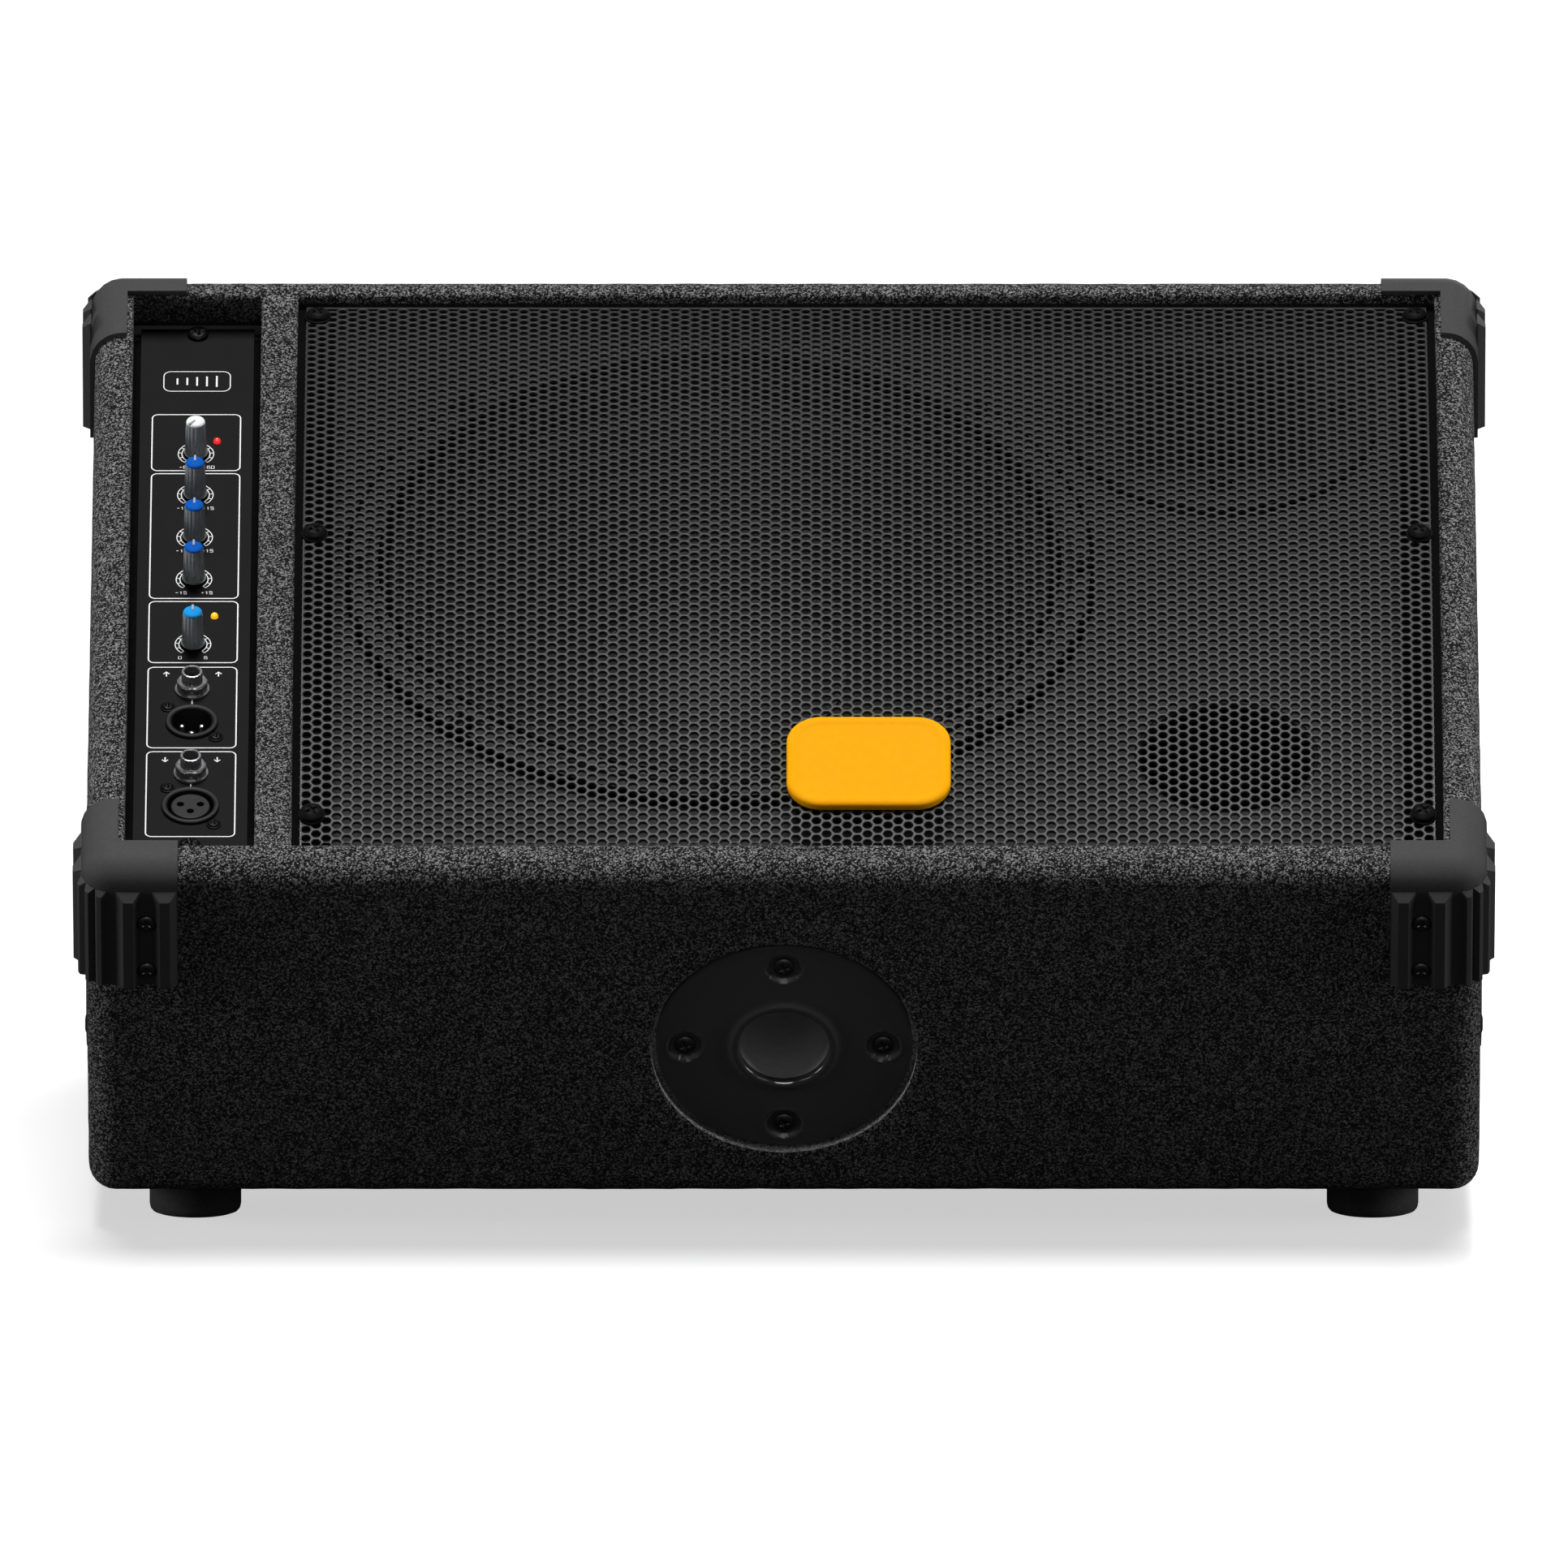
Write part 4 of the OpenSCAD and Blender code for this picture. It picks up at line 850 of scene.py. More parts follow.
def sheet_strip(x0, x1, s0, s1, nx, ns):
    """Plain edge of the sheet, with both skins and its narrow sides."""
    X = np.linspace(x0, x1, nx + 1)
    S = np.linspace(s0, s1, ns + 1)
    gx, gs = np.meshgrid(X, S, indexing="ij")
    top = bowed(gx, gs, np.full(gx.shape, -0.02)).reshape(-1, 3)
    bot = bowed(gx, gs, np.full(gx.shape, -SHEET)).reshape(-1, 3)
    m = ns + 1
    fs = []
    off = len(top)
    for i in range(nx):
        for j in range(ns):
            a0 = i * m + j
            fs.append([a0, a0 + m, a0 + m + 1, a0 + 1])
            fs.append([off + a0, off + a0 + 1, off + a0 + m + 1, off + a0 + m])
    for i in range(nx):
        for j in (0, ns):
            a0 = i * m + j
            fs.append([a0, a0 + m, off + a0 + m, off + a0])
    for j in range(ns):
        for i in (0, nx):
            a0 = i * m + j
            fs.append([a0, a0 + 1, off + a0 + 1, off + a0])
    return np.concatenate([top, bot]), fs


first, last = centres[:, 1].min(), centres[:, 1].max()
x_end = x_start + (n_cols - 1) * COL
for strip in ((GX0, x_start - HOLE_R + 0.1, -ARC, ARC, 1, 60),
              (x_end + HOLE_R - 0.1, GX1, -ARC, ARC, 1, 60),
              (GX0, GX1, last + PITCH * 0.42, ARC, 2, 2),
              (GX0, GX1, -ARC, first - PITCH * 0.42, 2, 2)):
    sheet.add(*sheet_strip(*strip), BAFFLE)
sheet.build("grille_sheet", "grille_metal", node="grille", slot="grille_metal", sharp=60,
            fix=False)


def on_bow(x, u, z=0.0):
    """Frame on the grille's outer skin."""
    t = math.asin((u - G_MID) / BOW_R)
    return (BAFFLE @ move(x, G_MID, BOW_W) @ turn("x", -math.degrees(t))
            @ move(0, 0, BOW_R + z))


WASHER = [(5.4, 0.02), (5.4, 0.5), (5.1, 0.7), (3, 0.7), (3, 0.02)]
gs = Soup()
for x in (GX0 + 4.7, GX1 - 4.7):
    for u in (38, 204, 366):
        m = on_bow(x, u)
        gs.add(*lathe(WASHER, 40, wrap=True), m)
        gs.add(*pan_head(4.7, 2.9, 56, 12, 1.2), m @ move(0, 0, 0.6) @ turn("z", 30))
        gs.add(*shank(19), m)
gs.build("grille_screw_heads", "screw_black", node="grille_screws", slot="screw_black", sharp=50)

# ---------- badge: a plain amber plate, no mark on it ----------

BADGE_W, BADGE_H, BADGE_R = 66, 50, 14
# inset from the outline, and height
BADGE = [(0.2, 0.0), (0, 0.5), (0, 1.5), (0.25, 2.2), (0.8, 2.8), (1.7, 3.15), (2.8, 3.25),
         (4.2, 3.2), (5.0, 3.0), (5.4, 2.95), (8, 2.95)]
lp = [rrect(BADGE_W - 2 * d, BADGE_H - 2 * d, max(BADGE_R - d, 3), z, 12) for d, z in BADGE]
piece("badge_plate", "amber", (loft(lp), on_bow(34, 65, 0.02)), node="badge", slot="amber",
      sharp=50)

# ---------- woofer ----------

WOOFER = BAFFLE @ move(*WOOFER_AT, -RECESS)
HORN = BAFFLE @ move(*HORN_AT, -RECESS)


def ribbed(r0, z0, r1, z1, ribs, depth, steps=8):
    """Slanting line with shallow ribs, for a lathe profile."""
    pts = []
    length = math.hypot(r1 - r0, z1 - z0)
    nr_, nz_ = -(z1 - z0) / length, (r1 - r0) / length
    total = ribs * steps
    for i in range(total + 1):
        f = i / total
        w = depth * (0.5 - 0.5 * math.cos(2 * math.pi * f * ribs))
        pts.append((r0 + (r1 - r0) * f + nr_ * w, z0 + (z1 - z0) * f + nz_ * w))
    return pts


def skin(profile, thick, n):
    """Lathed sheet of even thickness."""
    return lathe(profile + [(r, z - thick) for r, z in profile[::-1]], n, wrap=True)


GASKET = [(138.2, 7.0), (141.6, 7.0), (142.6, 6.4), (142.9, 5.02)]
piece("gasket_ring", "frame_metal", (lathe(GASKET, 128, caps=OPEN), WOOFER),
      node="woofer_gasket", slot="rubber", sharp=50, fix=False)
INNER_LIP = [(134.16, 1.2), (134.16, 5.03), (136.4, 5.04), (136.4, 6.3), (137.2, 7.02),
             (138.2, 7.02)]
OUTER_LIP = [(151.1, 0.1), (152.0, 0.1), (152.0, 4.4), (151.1, 5.03), (149.9, 5.03)]
piece("frame_shadow_edges", "void", (lathe(INNER_LIP, 128, caps=OPEN), WOOFER),
      (lathe(OUTER_LIP, 128, caps=OPEN), WOOFER), slot="rubber", sharp=50, fix=False)
cone = ribbed(117.9, -5.2, 51.6, -51, 7, -0.9) + ribbed(51.6, -51, 25.6, -68.7, 2, -0.4, 4)[1:]
piece("woofer_cone_look", "cone_paper", (skin(cone, 1.1, 96), WOOFER),
      body="woofer_moving_parts", node="woofer_cone", slot="cone_paper", sharp=60)

dome_h, base_r, base_z = 13.2, 50.4, -50.6
ball = (base_r ** 2 + dome_h ** 2) / (2 * dome_h)
prof = []
for f in np.linspace(0, 1, 22):
    r = base_r * (1 - f)
    prof.append((r, base_z + dome_h - ball + math.sqrt(ball ** 2 - r ** 2)))
prof_in = [(max(r - 0.4, 0), z - 0.8) for r, z in prof[::-1] if r > 1]
cap = lathe([(50.9, -50.9), (51.3, -50.3)] + prof + prof_in, 96)
piece("dust_cap", "cone_paper", (cap, WOOFER),
      body="woofer_moving_parts", node="woofer_dust_cap", slot="cone_paper", sharp=60)

roll = []
for f in np.linspace(0, 1, 37):
    wave = 1.5 * math.sin(2 * math.pi * 3 * f) * math.sin(math.pi * f) ** 0.5
    roll.append((118.3 + 15.5 * f, -5.6 + 9.2 * f + wave))
surround = piece("surround", "cone_paper", (skin(roll, 0.7, 128), WOOFER),
                 node="woofer_surround", slot="cone_paper", sharp=70)
folds = [(26.2 + 35 * f, -72.8 + 1.2 * math.sin(2 * math.pi * 6 * f))
         for f in np.linspace(0, 1, 61)]
spider = piece("spider", "spider_cloth", (skin(folds, 0.5, 96), WOOFER),
               node="woofer_spider", slot="spider_cloth", sharp=70)


def radial_blend(ob):
    """Leaves the ring with no body: unparents it and bakes its placement into the mesh.
    """
    ob.parent = None
    del ob["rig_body"]
    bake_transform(ob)


radial_blend(surround)
radial_blend(spider)

# ---------- horn ----------

sq = 64
THROAT_R, MOUTH = 12.7, 37.3


def squircle(half, r, z, blend_to_round):
    """Loop between a rounded square of half side and a circle of radius r."""
    t = np.linspace(0, 2 * math.pi, sq, endpoint=False)
    c, s = np.cos(t), np.sin(t)
    m = np.maximum(np.abs(c), np.abs(s))
    soft = half / (m ** 0.94)
    rad = soft * (1 - blend_to_round) + r * blend_to_round
    return np.stack([rad * c, rad * s, np.full(sq, z)], 1)


inner = []
for f in np.linspace(0, 1, 22):
    half = THROAT_R + (MOUTH - THROAT_R) * f ** 1.7
    inner.append(squircle(half, THROAT_R, -61 + 64.6 * f, max(0.0, 1 - 1.6 * f)))
inner.append(squircle(38.0, THROAT_R, 3.95, 0))
rimlp = [circle(r, z, sq) for r, z in ((52, 4.0), (63.5, 4.0), (64.6, 3.4), (64.9, 2.6),
                                       (64.9, 0.05))]
outer = [squircle(40, 0, 0.02, 0), squircle(39, 0, -3, 0), squircle(28, 0, -30, 0),
         squircle(17.4, 0, -56, 0.2), circle(23.9, -57, sq), circle(23.9, -61.9, sq)]
piece("horn", "horn_plastic", (loft(inner + rimlp + outer, wrap=True), HORN),
      node="horn_flare", slot="black_plastic", sharp=40)

drv = Soup()
for at, count, ring_r, z, head_r in ((WOOFER, 8, 147, 5.0, 4.8), (HORN, 4, 49, 4.0, 4.6)):
    for i in range(count):
        m = at @ turn("z", i * 360 / count) @ move(ring_r, 0, z)
        drv.add(*pan_head(head_r, 2.6), m)
        drv.add(*shank(16), m)
drv.build("driver_screw_heads", "panel_screw", node="driver_screws", slot="screw_black", sharp=50)

# port with a rolled mouth
PORT = [(34, -109.9), (34, -6), (34.3, -2.5), (35, -0.7), (36, -0.1), (36.9, -0.4), (37, -1.5),
        (37, -109.9)]
piece("port", "black_plastic", (lathe(PORT, 96, wrap=True), BAFFLE @ move(*PORT_AT, -RECESS)),
      node="port_tube", slot="black_plastic", sharp=50)

# ---------- control panel ----------

# felt strip over the bare end of the rear board, above the plate, in the dark carpet copy as
# painted shade
felt = [(box((-264.4, 377.1, -17.5), (-212.6, 377.45, -13.2), 0.1), BAFFLE)]
for x0 in (-264.4, -215.3):
    felt.append((box((x0, 366.0, -18.4), (x0 + 2.7, 377.4, -17.4), 0.2), BAFFLE))
piece("end_felt", "lining", *felt, slot="carpet", sharp=60)

ink = Soup()
INK_Z, INK_T, LINE = 0.01, 0.06, 0.5


def stroke(points, w, m, closed=False):
    """Flat raised line of width w through 2-D points."""
    p = np.array(points, float)
    n = len(p)
    left, right = [], []
    for i in range(n):
        a_ = p[(i - 1) % n] if (closed or i > 0) else p[i]
        b_ = p[(i + 1) % n] if (closed or i < n - 1) else p[i]
        d_ = (b_ - a_) / max(np.linalg.norm(b_ - a_), 1e-9)
        q_ = np.array([-d_[1], d_[0]]) * w / 2
        left.append(p[i] + q_)
        right.append(p[i] - q_)
    v, f = [], []
    for l_, r_ in zip(left, right):
        v += [(*l_, INK_Z), (*r_, INK_Z), (*r_, INK_Z + INK_T), (*l_, INK_Z + INK_T)]
    count = n if closed else n - 1
    for i in range(count):
        a_, b_ = 4 * i, 4 * ((i + 1) % n)
        for k_ in range(4):
            k2 = (k_ + 1) % 4
            f.append([a_ + k_, a_ + k2, b_ + k2, b_ + k_])
    if not closed:
        f.append([0, 1, 2, 3])
        f.append([4 * n - 1, 4 * n - 2, 4 * n - 3, 4 * n - 4])
    ink.add(v, f, m)


def outline(u0, u1, half_w=17.9, r=2.4):
    pts = rrect(2 * half_w, u1 - u0, r, 0, 6)[:, :2]
    stroke(pts, LINE, on_panel((u0 + u1) / 2), closed=True)


GLYPHS = {
    "0": [[(0, 0), (1, 0), (1, 1.5), (0, 1.5), (0, 0)]],
    "1": [[(0.15, 1.2), (0.55, 1.5), (0.55, 0)]],
    "5": [[(1, 1.5), (0, 1.5), (0, 0.85), (1, 0.85), (1, 0), (0, 0)]],
    "6": [[(1, 1.5), (0, 1.5), (0, 0), (1, 0), (1, 0.85), (0, 0.85)]],
    "3": [[(0, 1.5), (1, 1.5), (1, 0), (0, 0)], [(0.2, 0.8), (1, 0.8)]],
    "-": [[(0.1, 0.75), (0.9, 0.75)]],
    "+": [[(0.1, 0.75), (0.9, 0.75)], [(0.5, 0.35), (0.5, 1.15)]],
}


def digits(text, x, y, size, m):
    """Scale numbers drawn with straight strokes, centred on x."""
    step = size * 1.45
    x0 = x - (len(text) - 1) * step / 2 - size / 2
    for i, ch in enumerate(text):
        for line in GLYPHS[ch]:
            stroke([(x0 + (i * 1.45 + px) * size, y + py * size) for px, py in line], 0.3, m)


def scale_ring(m, r_out=7.2, r_in=5.7):
    """Two arcs and eleven ticks over a knob's 280 degrees of turn."""
    for r in (r_out, r_in):
        stroke([(r * math.sin(t), r * math.cos(t)) for t in np.radians(np.linspace(-140, 140, 57))],
               0.34, m)
    for t in np.radians(np.linspace(-140, 140, 11)):
        s, c = math.sin(t), math.cos(t)
        stroke([(r_in * s, r_in * c), (r_out * s, r_out * c)], 0.34, m)


for u0, u1 in ((281, 318), (197, 279), (155, 195), (99.5, 152), (42, 97)):
    outline(u0, u1)
for kn, u in KNOB_U.items():
    m = on_panel(u)
    scale_ring(m)
    lo_t, hi_t = {"gain": ("-6", "+60"), "filter": ("0", "6")}.get(kn, ("-15", "+15"))
    digits(lo_t, -5.2, -9.6, 1.15, m)
    digits(hi_t, 5.2, -9.6, 1.15, m)
# signal path lines between each jack and its XLR, and plain in/out arrows above the jacks
for u in (126.6, 73.0):
    stroke([(0, 0), (0, 4.2)], 0.55, on_panel(u))
for u, up in ((147.2, 1), (92.2, -1)):
    m = on_panel(u)
    for x in (-10.5, 10.5):
        stroke([(x, -1.2 * up), (x, 1.4 * up)], LINE, m)
        stroke([(x - 1.2, 0.4 * up), (x, 1.7 * up), (x + 1.2, 0.4 * up)], LINE, m)
# plain frame with five bars in the field above the gain box
fm = on_panel(340)
stroke(rrect(27, 13, 3, 0, 6)[:, :2], 0.4, fm, closed=True)
for i in range(5):
    stroke([(-8 + 4 * i, -2 - 0.4 * i), (-8 + 4 * i, 2 + 0.4 * i)], 0.7, fm)
ink.build("panel_print", "print", slot="panel_paint", sharp=30)

# panel screws
ps = Soup()
for u in PLATE_SCREW_U:
    ps.add(*pan_head(4.3, 2.1, 48), on_panel(u) @ turn("z", 15))
    ps.add(*shank(11), on_panel(u))
COLLAR = [(2.95, 0.01), (2.95, 0.45), (2.7, 0.6), (2.3, 0.62)]
for u, x, y in ((LINK_U, 9.7, 9.7), (INPUT_U, 9.4, 11.7)):
    for s in (-1, 1):
        m = on_panel(u) @ move(s * x, -s * y, 0)
        ps.add(*lathe(COLLAR, 32), m)
        ps.add(*pan_head(2.4, 0.9, 40, 9, 0.7), m @ move(0, 0, 0.55) @ turn("z", 20))
        ps.add(*lathe([(1.4, 0.1), (1.4, -7), (0.3, -8.6)], 12), m)
for s in (-1, 1):
    for y in (76, 165, 254):
        m = REAR @ move(s * 104, y, 0.5)
        ps.add(*pan_head(3.8, 2.2, 44), m)
        ps.add(*shank(13), m)
ps.build("panel_screw_heads", "panel_screw", node="panel_screws", slot="screw_black", sharp=50)


def fluted(profile, n, flutes, power):
    """Loops of radius, height and flute depth."""
    t = np.linspace(0, 2 * math.pi, n, endpoint=False)
    lps = []
    for r, z, depth in profile:
        rr = r - depth * (0.5 + 0.5 * np.cos(t * flutes)) ** power
        lps.append(np.stack([rr * np.cos(t), rr * np.sin(t), np.full(n, z)], 1))
    return lps


# knobs: fluted smoky body with a flared foot, coloured cap with a pointer
GAIN_TURN = 135.0  # the gain knob rests near its lower stop
CAP_SLOT = {"gain": "cap_white", "treble": "cap_blue", "mid": "cap_blue", "bass": "cap_blue",
            "filter": "cap_sky"}
KNOB = [(3.6, 0.62, 0), (4.5, 0.62, 0), (4.7, 0.8, 0), (4.85, 1.3, 0), (4.8, 2.0, 0),
        (4.6, 2.6, 0), (4.5, 3.1, 0), (4.45, 3.6, 0.2), (4.4, 4.4, 0.45), (4.25, 9, 0.48),
        (4.05, 14.5, 0.48), (3.98, 15.6, 0.42), (3.9, 16.1, 0.25), (3.4, 16.28, 0)]
CAP = [(3.5, 16.2), (3.75, 16.3), (3.82, 16.5), (3.6, 16.95), (3.1, 17.25), (1.8, 17.45),
       (0.01, 17.5)]
for kn, u in KNOB_U.items():
    m = on_panel(u) @ turn("z", GAIN_TURN if kn == "gain" else 0.0)
    body, cap = kn + "_control", CAP_SLOT[kn]
    piece(kn + "_knob_look", "knob_grey", (loft(fluted(KNOB, 168, 14, 3)), m),
          (lathe([(3, -6), (3, 0.7)], 32), m), body=body, node=kn + "_knob", slot="knob_grey",
          sharp=40)
    piece(kn + "_cap_look", cap, (lathe(CAP, 48), m), body=body, node=kn + "_cap", slot=cap,
          sharp=45)
    piece(kn + "_pointer", "pointer", (box((-0.45, 0.3, 16.9), (0.45, 3.75, 17.75), 0.12), m),
          body=body, slot=cap, sharp=30)


def hexagon(flat_r, z):
    """Loop of a six-sided nut with rounded corners."""
    sector, pts = math.radians(60), []
    for i in range(48):
        t = math.radians(7.5 * i)
        off = ((t + sector / 2) % sector) - sector / 2
        r = flat_r / math.cos(off) * (1 - 0.12 * (abs(off) / (sector / 2)) ** 6)
        pts.append((r * math.cos(t), r * math.sin(t), z))
    return np.array(pts)


# jacks: washer and hexagon nut, fluted bush and the body behind
NUT = [circle(6.95, 0.02, 48), circle(6.95, 0.8, 48), circle(6.6, 1.0, 48), hexagon(5.75, 1.1),
       hexagon(5.9, 1.5), hexagon(5.9, 4.2), circle(5.6, 4.75, 48), circle(5.0, 4.95, 48),
       circle(4.36, 4.95, 48), circle(4.36, 0.02, 48)]
BUSH = [(3.2, 0.1, 0), (4.3, 0.1, 0), (4.3, 5.2, 0), (4.3, 5.4, 0.3), (4.3, 9.0, 0.34),
        (4.15, 9.4, 0.2), (3.8, 9.5, 0), (3.4, 9.5, 0), (3.2, 9.3, 0), (3.2, 5, 0)]
nut, bush = Soup(), Soup()
for u in JACK_U:
    m = on_panel(u)
    nut.add(*loft(NUT, wrap=True), m @ turn("z", 30))
    nut.add(*loft(fluted(BUSH, 96, 16, 2), wrap=True), m)
    bush.add(*lathe([(3.19, 5), (3.19, -26.9), (0.1, -26.9)], 32, caps=(False, True)), m)
    bush.add(*lathe([(4.29, -2), (4.29, 0.09)], 32, caps=OPEN), m)
    bush.add(*box((-7.5, -8.5, -30), (7.5, 8.5, -27), 0.3), m)
nut.build("jack_nut_look", "nut", node="jack_nuts", slot="nut", sharp=40)
bush.build("jack_bodies_look", "void", node="jack_sockets", slot="black_plastic", sharp=40)

# XLR sockets
LINK = [(8.15, -13.9), (8.15, 0.6), (8.35, 1.05), (8.8, 1.35), (9.9, 1.5), (10.4, 1.35),
        (10.68, 0.9), (10.7, 0.02), (10.2, 0.0), (10.2, -26), (0.01, -26), (0.01, -14), (8.1, -14)]
piece("link_socket", "black_plastic", (lathe(LINK, 96, caps=OPEN), on_panel(LINK_U)),
      node="link_xlr", slot="black_plastic", sharp=45)
SHELL = [(9.3, -11.9), (9.3, 0.5), (9.45, 1.0), (9.9, 1.35), (10.7, 1.5), (11.3, 1.35),
         (11.66, 0.9), (11.7, 0.02), (10.2, 0.0), (10.2, -26), (0.01, -26)]
INSERT = [(9.3, -11.95), (7.95, -11.95), (7.95, -0.2), (7.8, 0.25), (7.4, 0.4)]
# insert face with three contact holes: polar grid pressed down at the holes
lps = []
for r in np.linspace(7.4, 0.05, 34):
    c = circle(r, 0.4, 120)
    for x, y in CONTACTS:
        d = np.hypot(c[:, 0] - x, c[:, 1] - y)
        c[:, 2] -= 4.0 * np.clip((1.35 - d) / 0.25, 0, 1)
    lps.append(c)
m = on_panel(INPUT_U)
piece("input_socket", "black_plastic", (lathe(SHELL, 96, caps=(False, True)), m),
      (lathe(INSERT, 96, caps=OPEN), m), (loft(lps, caps=(False, True)), m),
      node="input_xlr", slot="black_plastic", sharp=30)
PIN = [(1.2, -18), (1.2, -3.2), (1.1, -2.6), (0.8, -2.25), (0.3, -2.2)]
piece("link_pins", "pin_silver",
      *[(lathe(PIN, 32), on_panel(LINK_U) @ move(x, y, 0)) for x, y in CONTACTS],
      node="xlr_pins", slot="pin_silver", sharp=50)

# lamps
LENS = [(1.5, -5), (1.5, 0.4)] + [(1.5 * math.cos(t), 0.4 + 1.5 * math.sin(t))
                                  for t in np.radians(np.linspace(10, 88, 9))]
for name, node, u, finish in (("clip_lamp", "clip_led", 300, "red_led"),
                              ("filter_lamp", "filter_led", 185, "amber_led")):
    piece(name, finish, (lathe(LENS, 40), on_panel(u) @ move(8.5, 0, 0)), node=node,
          slot=finish, sharp=50)

# ---------- inside: cables and wadding ----------

CABLES = [
    [(60, 297, -160), (60, 262, -160), (60, 222, -158), (60, 214, -148), (60, 214, -107)],
    [(101, 300, -160), (140, 300, -161), (170, 300, -158), (177, 300, -148), (177, 300, -117)],
    [(-238, 322, -61), (-238, 322, -110), (-238, 322, -138), (-232, 322, -148),
     (-215, 322, -150), (-150, 322, -150), (-93, 322, -150)],
]
piece("cables", "rubber", *[(tube(path, 2), BAFFLE) for path in CABLES],
      node="speaker_cables", slot="rubber", sharp=60)

w_lo, w_hi = (np.array(p) * 1000 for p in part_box("damping_wadding"))
size = w_hi - w_lo
WX, WY = 70, 44
gx, gy = (g.ravel() for g in np.meshgrid(np.linspace(0, 1, WX), np.linspace(0, 1, WY),
                                         indexing="ij"))
edge = np.clip(np.minimum(np.minimum(gx, 1 - gx) * 28, np.minimum(gy, 1 - gy) * 18), 0, 1) ** 0.5
base_pts = np.stack([w_lo[0] + 4 + gx * (size[0] - 8), w_lo[1] + 4 + gy * (size[1] - 8),
                     0 * gx], 1)
hgt = (size[2] - 3) * edge * 0.92 + lumps(base_pts * 0.35, 1.0) * edge
lift = w_lo[2] + 0.5 + np.clip(hgt, 0.2, size[2] - 0.6)
topv = base_pts + np.outer(lift, (0, 0, 1))
botv = base_pts + np.array([0, 0, w_lo[2] + 0.2])
fs, below = [], WX * WY
for i in range(WX - 1):
    for j in range(WY - 1):
        a = i * WY + j
        b = a + WY
        fs.append([a, b, b + 1, a + 1])
        fs.append([below + a, below + a + 1, below + b + 1, below + b])
piece("wadding_sheet", "wadding", ((np.concatenate([topv, botv]), fs), None),
      node="damping_wadding", slot="wadding", sharp=80, fix=False)

# ---------- floor, light and camera ----------

floor_me = bpy.data.meshes.new("floor")
floor_me.from_pydata([(-60, -60, 0), (60, -60, 0), (60, 60, 0), (-60, 60, 0)], [], [(0, 1, 2, 3)])
floor = bpy.data.objects.new("floor", floor_me)
scene.collection.objects.link(floor)
pale = speckled("floor", (3.0, 4.0), [(0.2, grey(0.46)), (0.8, grey(0.48))], Roughness=0.3,
                Specular_IOR_Level=0.25)
floor_me.materials.append(pale)
nt = pale.node_tree


def for_camera(nt, seen, other, output):
    """One shader for camera rays and another for all other rays."""
    path = nt.nodes.new("ShaderNodeLightPath")
    mix = nt.nodes.new("ShaderNodeMixShader")
    nt.links.new(path.outputs["Is Camera Ray"], mix.inputs[0])
    nt.links.new(other.outputs[0], mix.inputs[1])
    nt.links.new(seen.outputs[0], mix.inputs[2])
    nt.links.new(mix.outputs[0], nt.nodes[output].inputs["Surface"])


# the floor is pale to the eye but throws little light back up, as a studio sweep does
dull = nt.nodes.new("ShaderNodeBsdfDiffuse")
put(dull, Color=(*grey(0.04), 1))
glow = nt.nodes.new("ShaderNodeEmission")
put(glow, Color=(1, 1, 1, 1), Strength=0.58)
total = nt.nodes.new("ShaderNodeAddShader")
nt.links.new(nt.nodes["Principled BSDF"].outputs[0], total.inputs[0])
nt.links.new(glow.outputs[0], total.inputs[1])
for_camera(nt, total, dull, "Material Output")

w = bpy.data.worlds.new("studio")
scene.world = w
w.use_nodes = True
wt = w.node_tree
back, fill = wt.nodes["Background"], wt.nodes.new("ShaderNodeBackground")
put(back, Color=(1, 1, 1, 1), Strength=1.0)
put(fill, Color=(1, 1, 1, 1), Strength=0.058)
for_camera(wt, back, fill, "World Output")


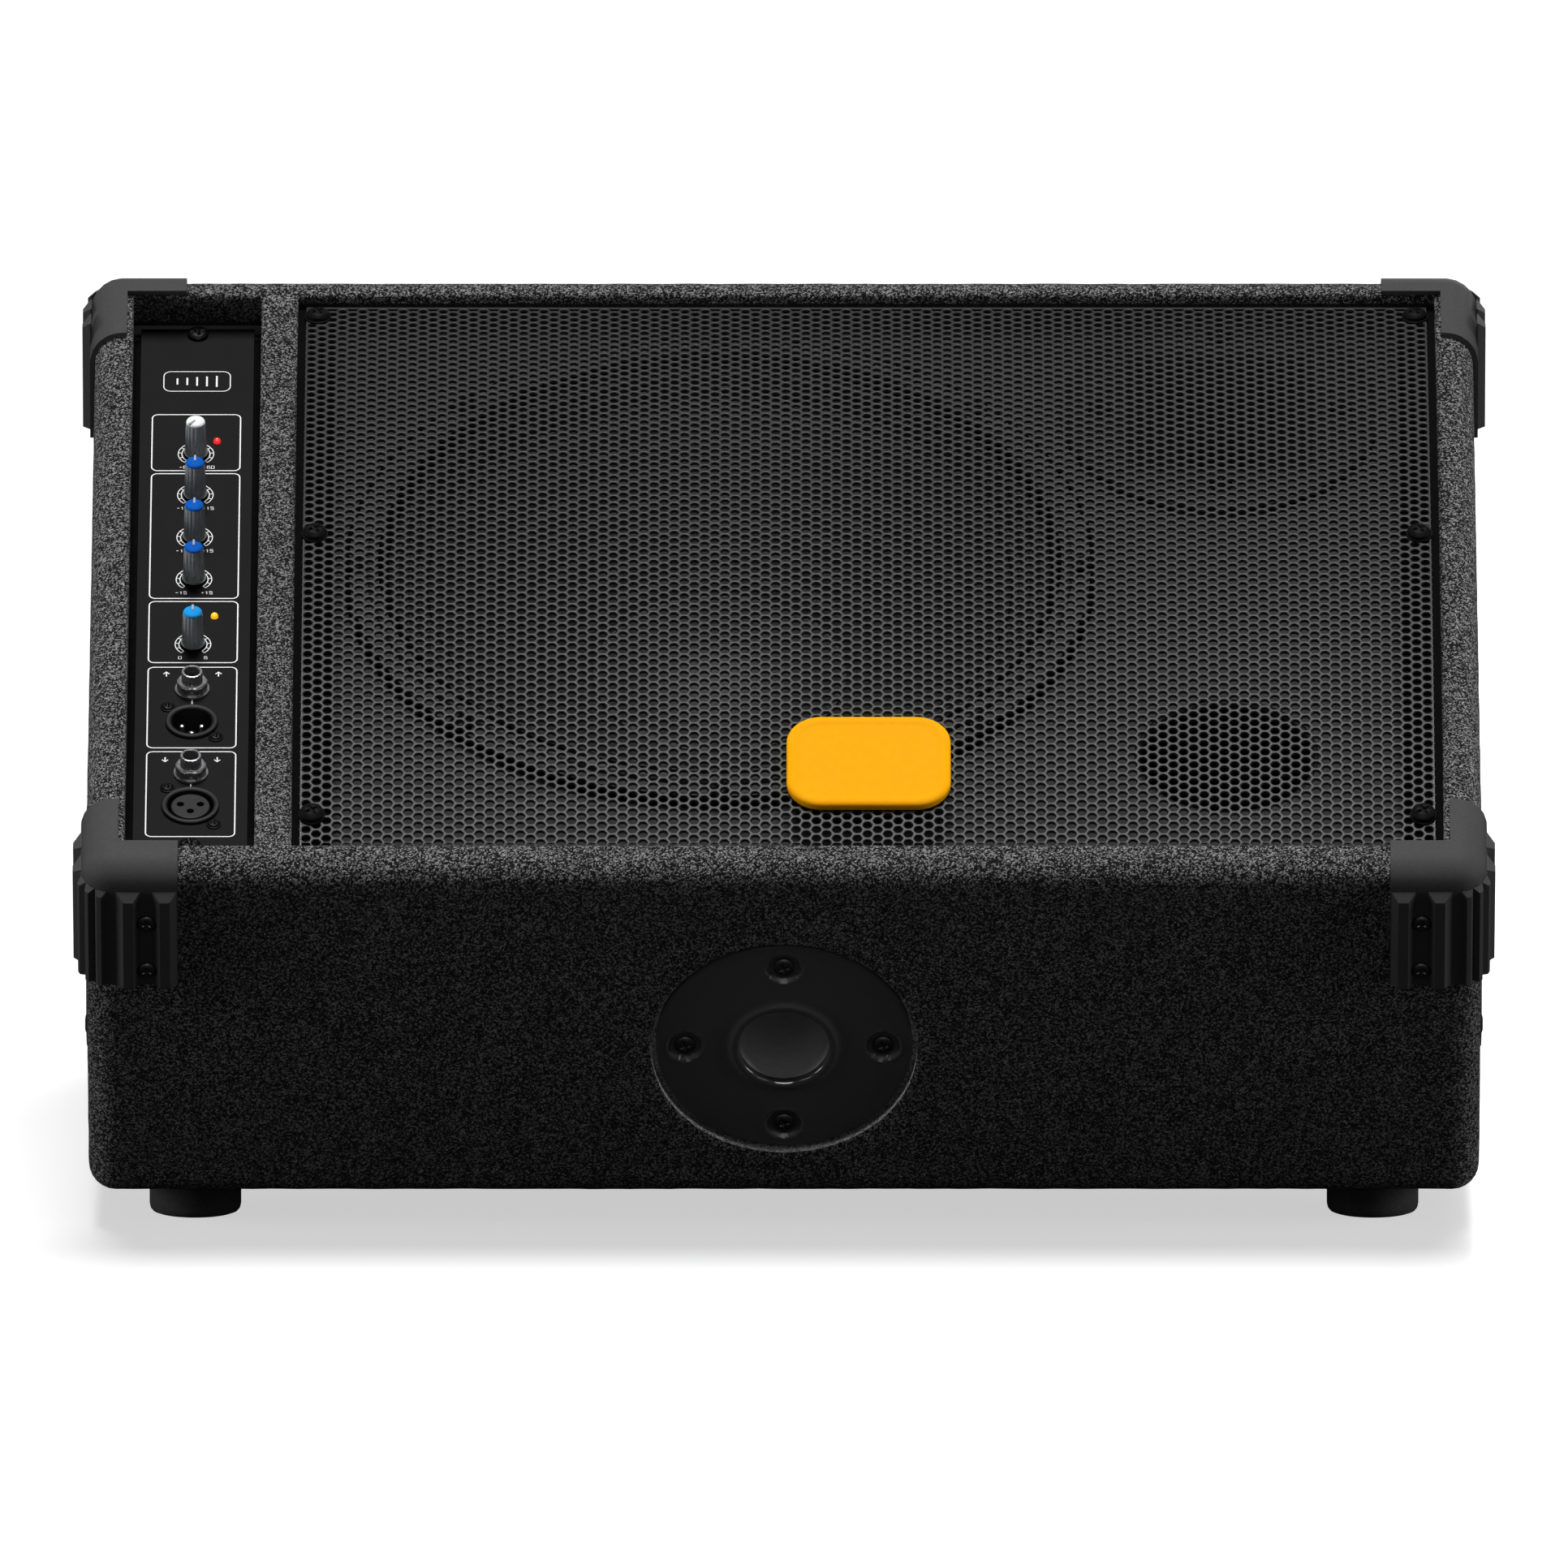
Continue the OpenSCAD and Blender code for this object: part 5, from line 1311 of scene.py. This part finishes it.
def lamp(name, kind, direction):
    """Studio lamp shining along a direction."""
    data = bpy.data.lights.new(name, kind)
    ob = bpy.data.objects.new(name, data)
    ob.rotation_mode = "QUATERNION"
    ob.rotation_quaternion = Vector(direction).to_track_quat("-Z", "Y")
    scene.collection.objects.link(ob)
    return ob, data


def area(name, loc, target, size, power, lights=False):
    """Soft box; unless it lights, it is seen only in reflections."""
    ob, data = lamp(name, "AREA", Vector(target) - Vector(loc))
    data.shape = "RECTANGLE"
    data.size, data.size_y = size
    data.energy = power
    ob.location = loc
    ob.visible_diffuse = lights


_, sun = lamp("overhead", "SUN", (0, 0.03, -1))
sun.energy = 3.7
sun.angle = math.radians(24)
for s, name in ((-1, "left"), (1, "right")):
    area(name + "_strip", (s * 1.5, -1.7, 0.8), (0, -0.1, 0.2), (0.3, 1.4), 3.0)
    area(name + "_side", (s * 2.2, -0.4, 0.4), (0, -0.2, 0.15), (0.8, 0.8), 17.0, lights=True)
area("back_fill", (0.7, 2.4, 1.0), (0, 0.1, 0.15), (1.0, 1.0), 14.0, lights=True)
area("front_top", (0.0, -2.4, 1.6), (0, -0.1, 0.1), (1.6, 0.3), 45.0)
area("low_strip", (0.0, -2.4, 0.25), (0, -0.1, 0.08), (0.25, 0.5), 1.2)

ELEV = math.radians(10.3)  # the photo's viewing angle
DIST = 19.0
AIM_UP = 0.0354  # the picture's middle lies this far above the front edge, across the view
rim = Vector((0, FRONT_Y * 0.001, RIM_Z * 0.001))
target = rim + Vector((0, math.sin(ELEV), math.cos(ELEV))) * AIM_UP
cam_data = bpy.data.cameras.new("camera")
cam_data.lens = 1089
cam_data.sensor_width = 36
cam_data.clip_end = 200
cam = bpy.data.objects.new("camera", cam_data)
cam.location = target - Vector((0, math.cos(ELEV), -math.sin(ELEV))) * DIST
cam.rotation_mode = "QUATERNION"
cam.rotation_quaternion = (target - cam.location).to_track_quat("-Z", "Y")
scene.collection.objects.link(cam)
scene.camera = cam
scene.view_settings.view_transform = "Standard"
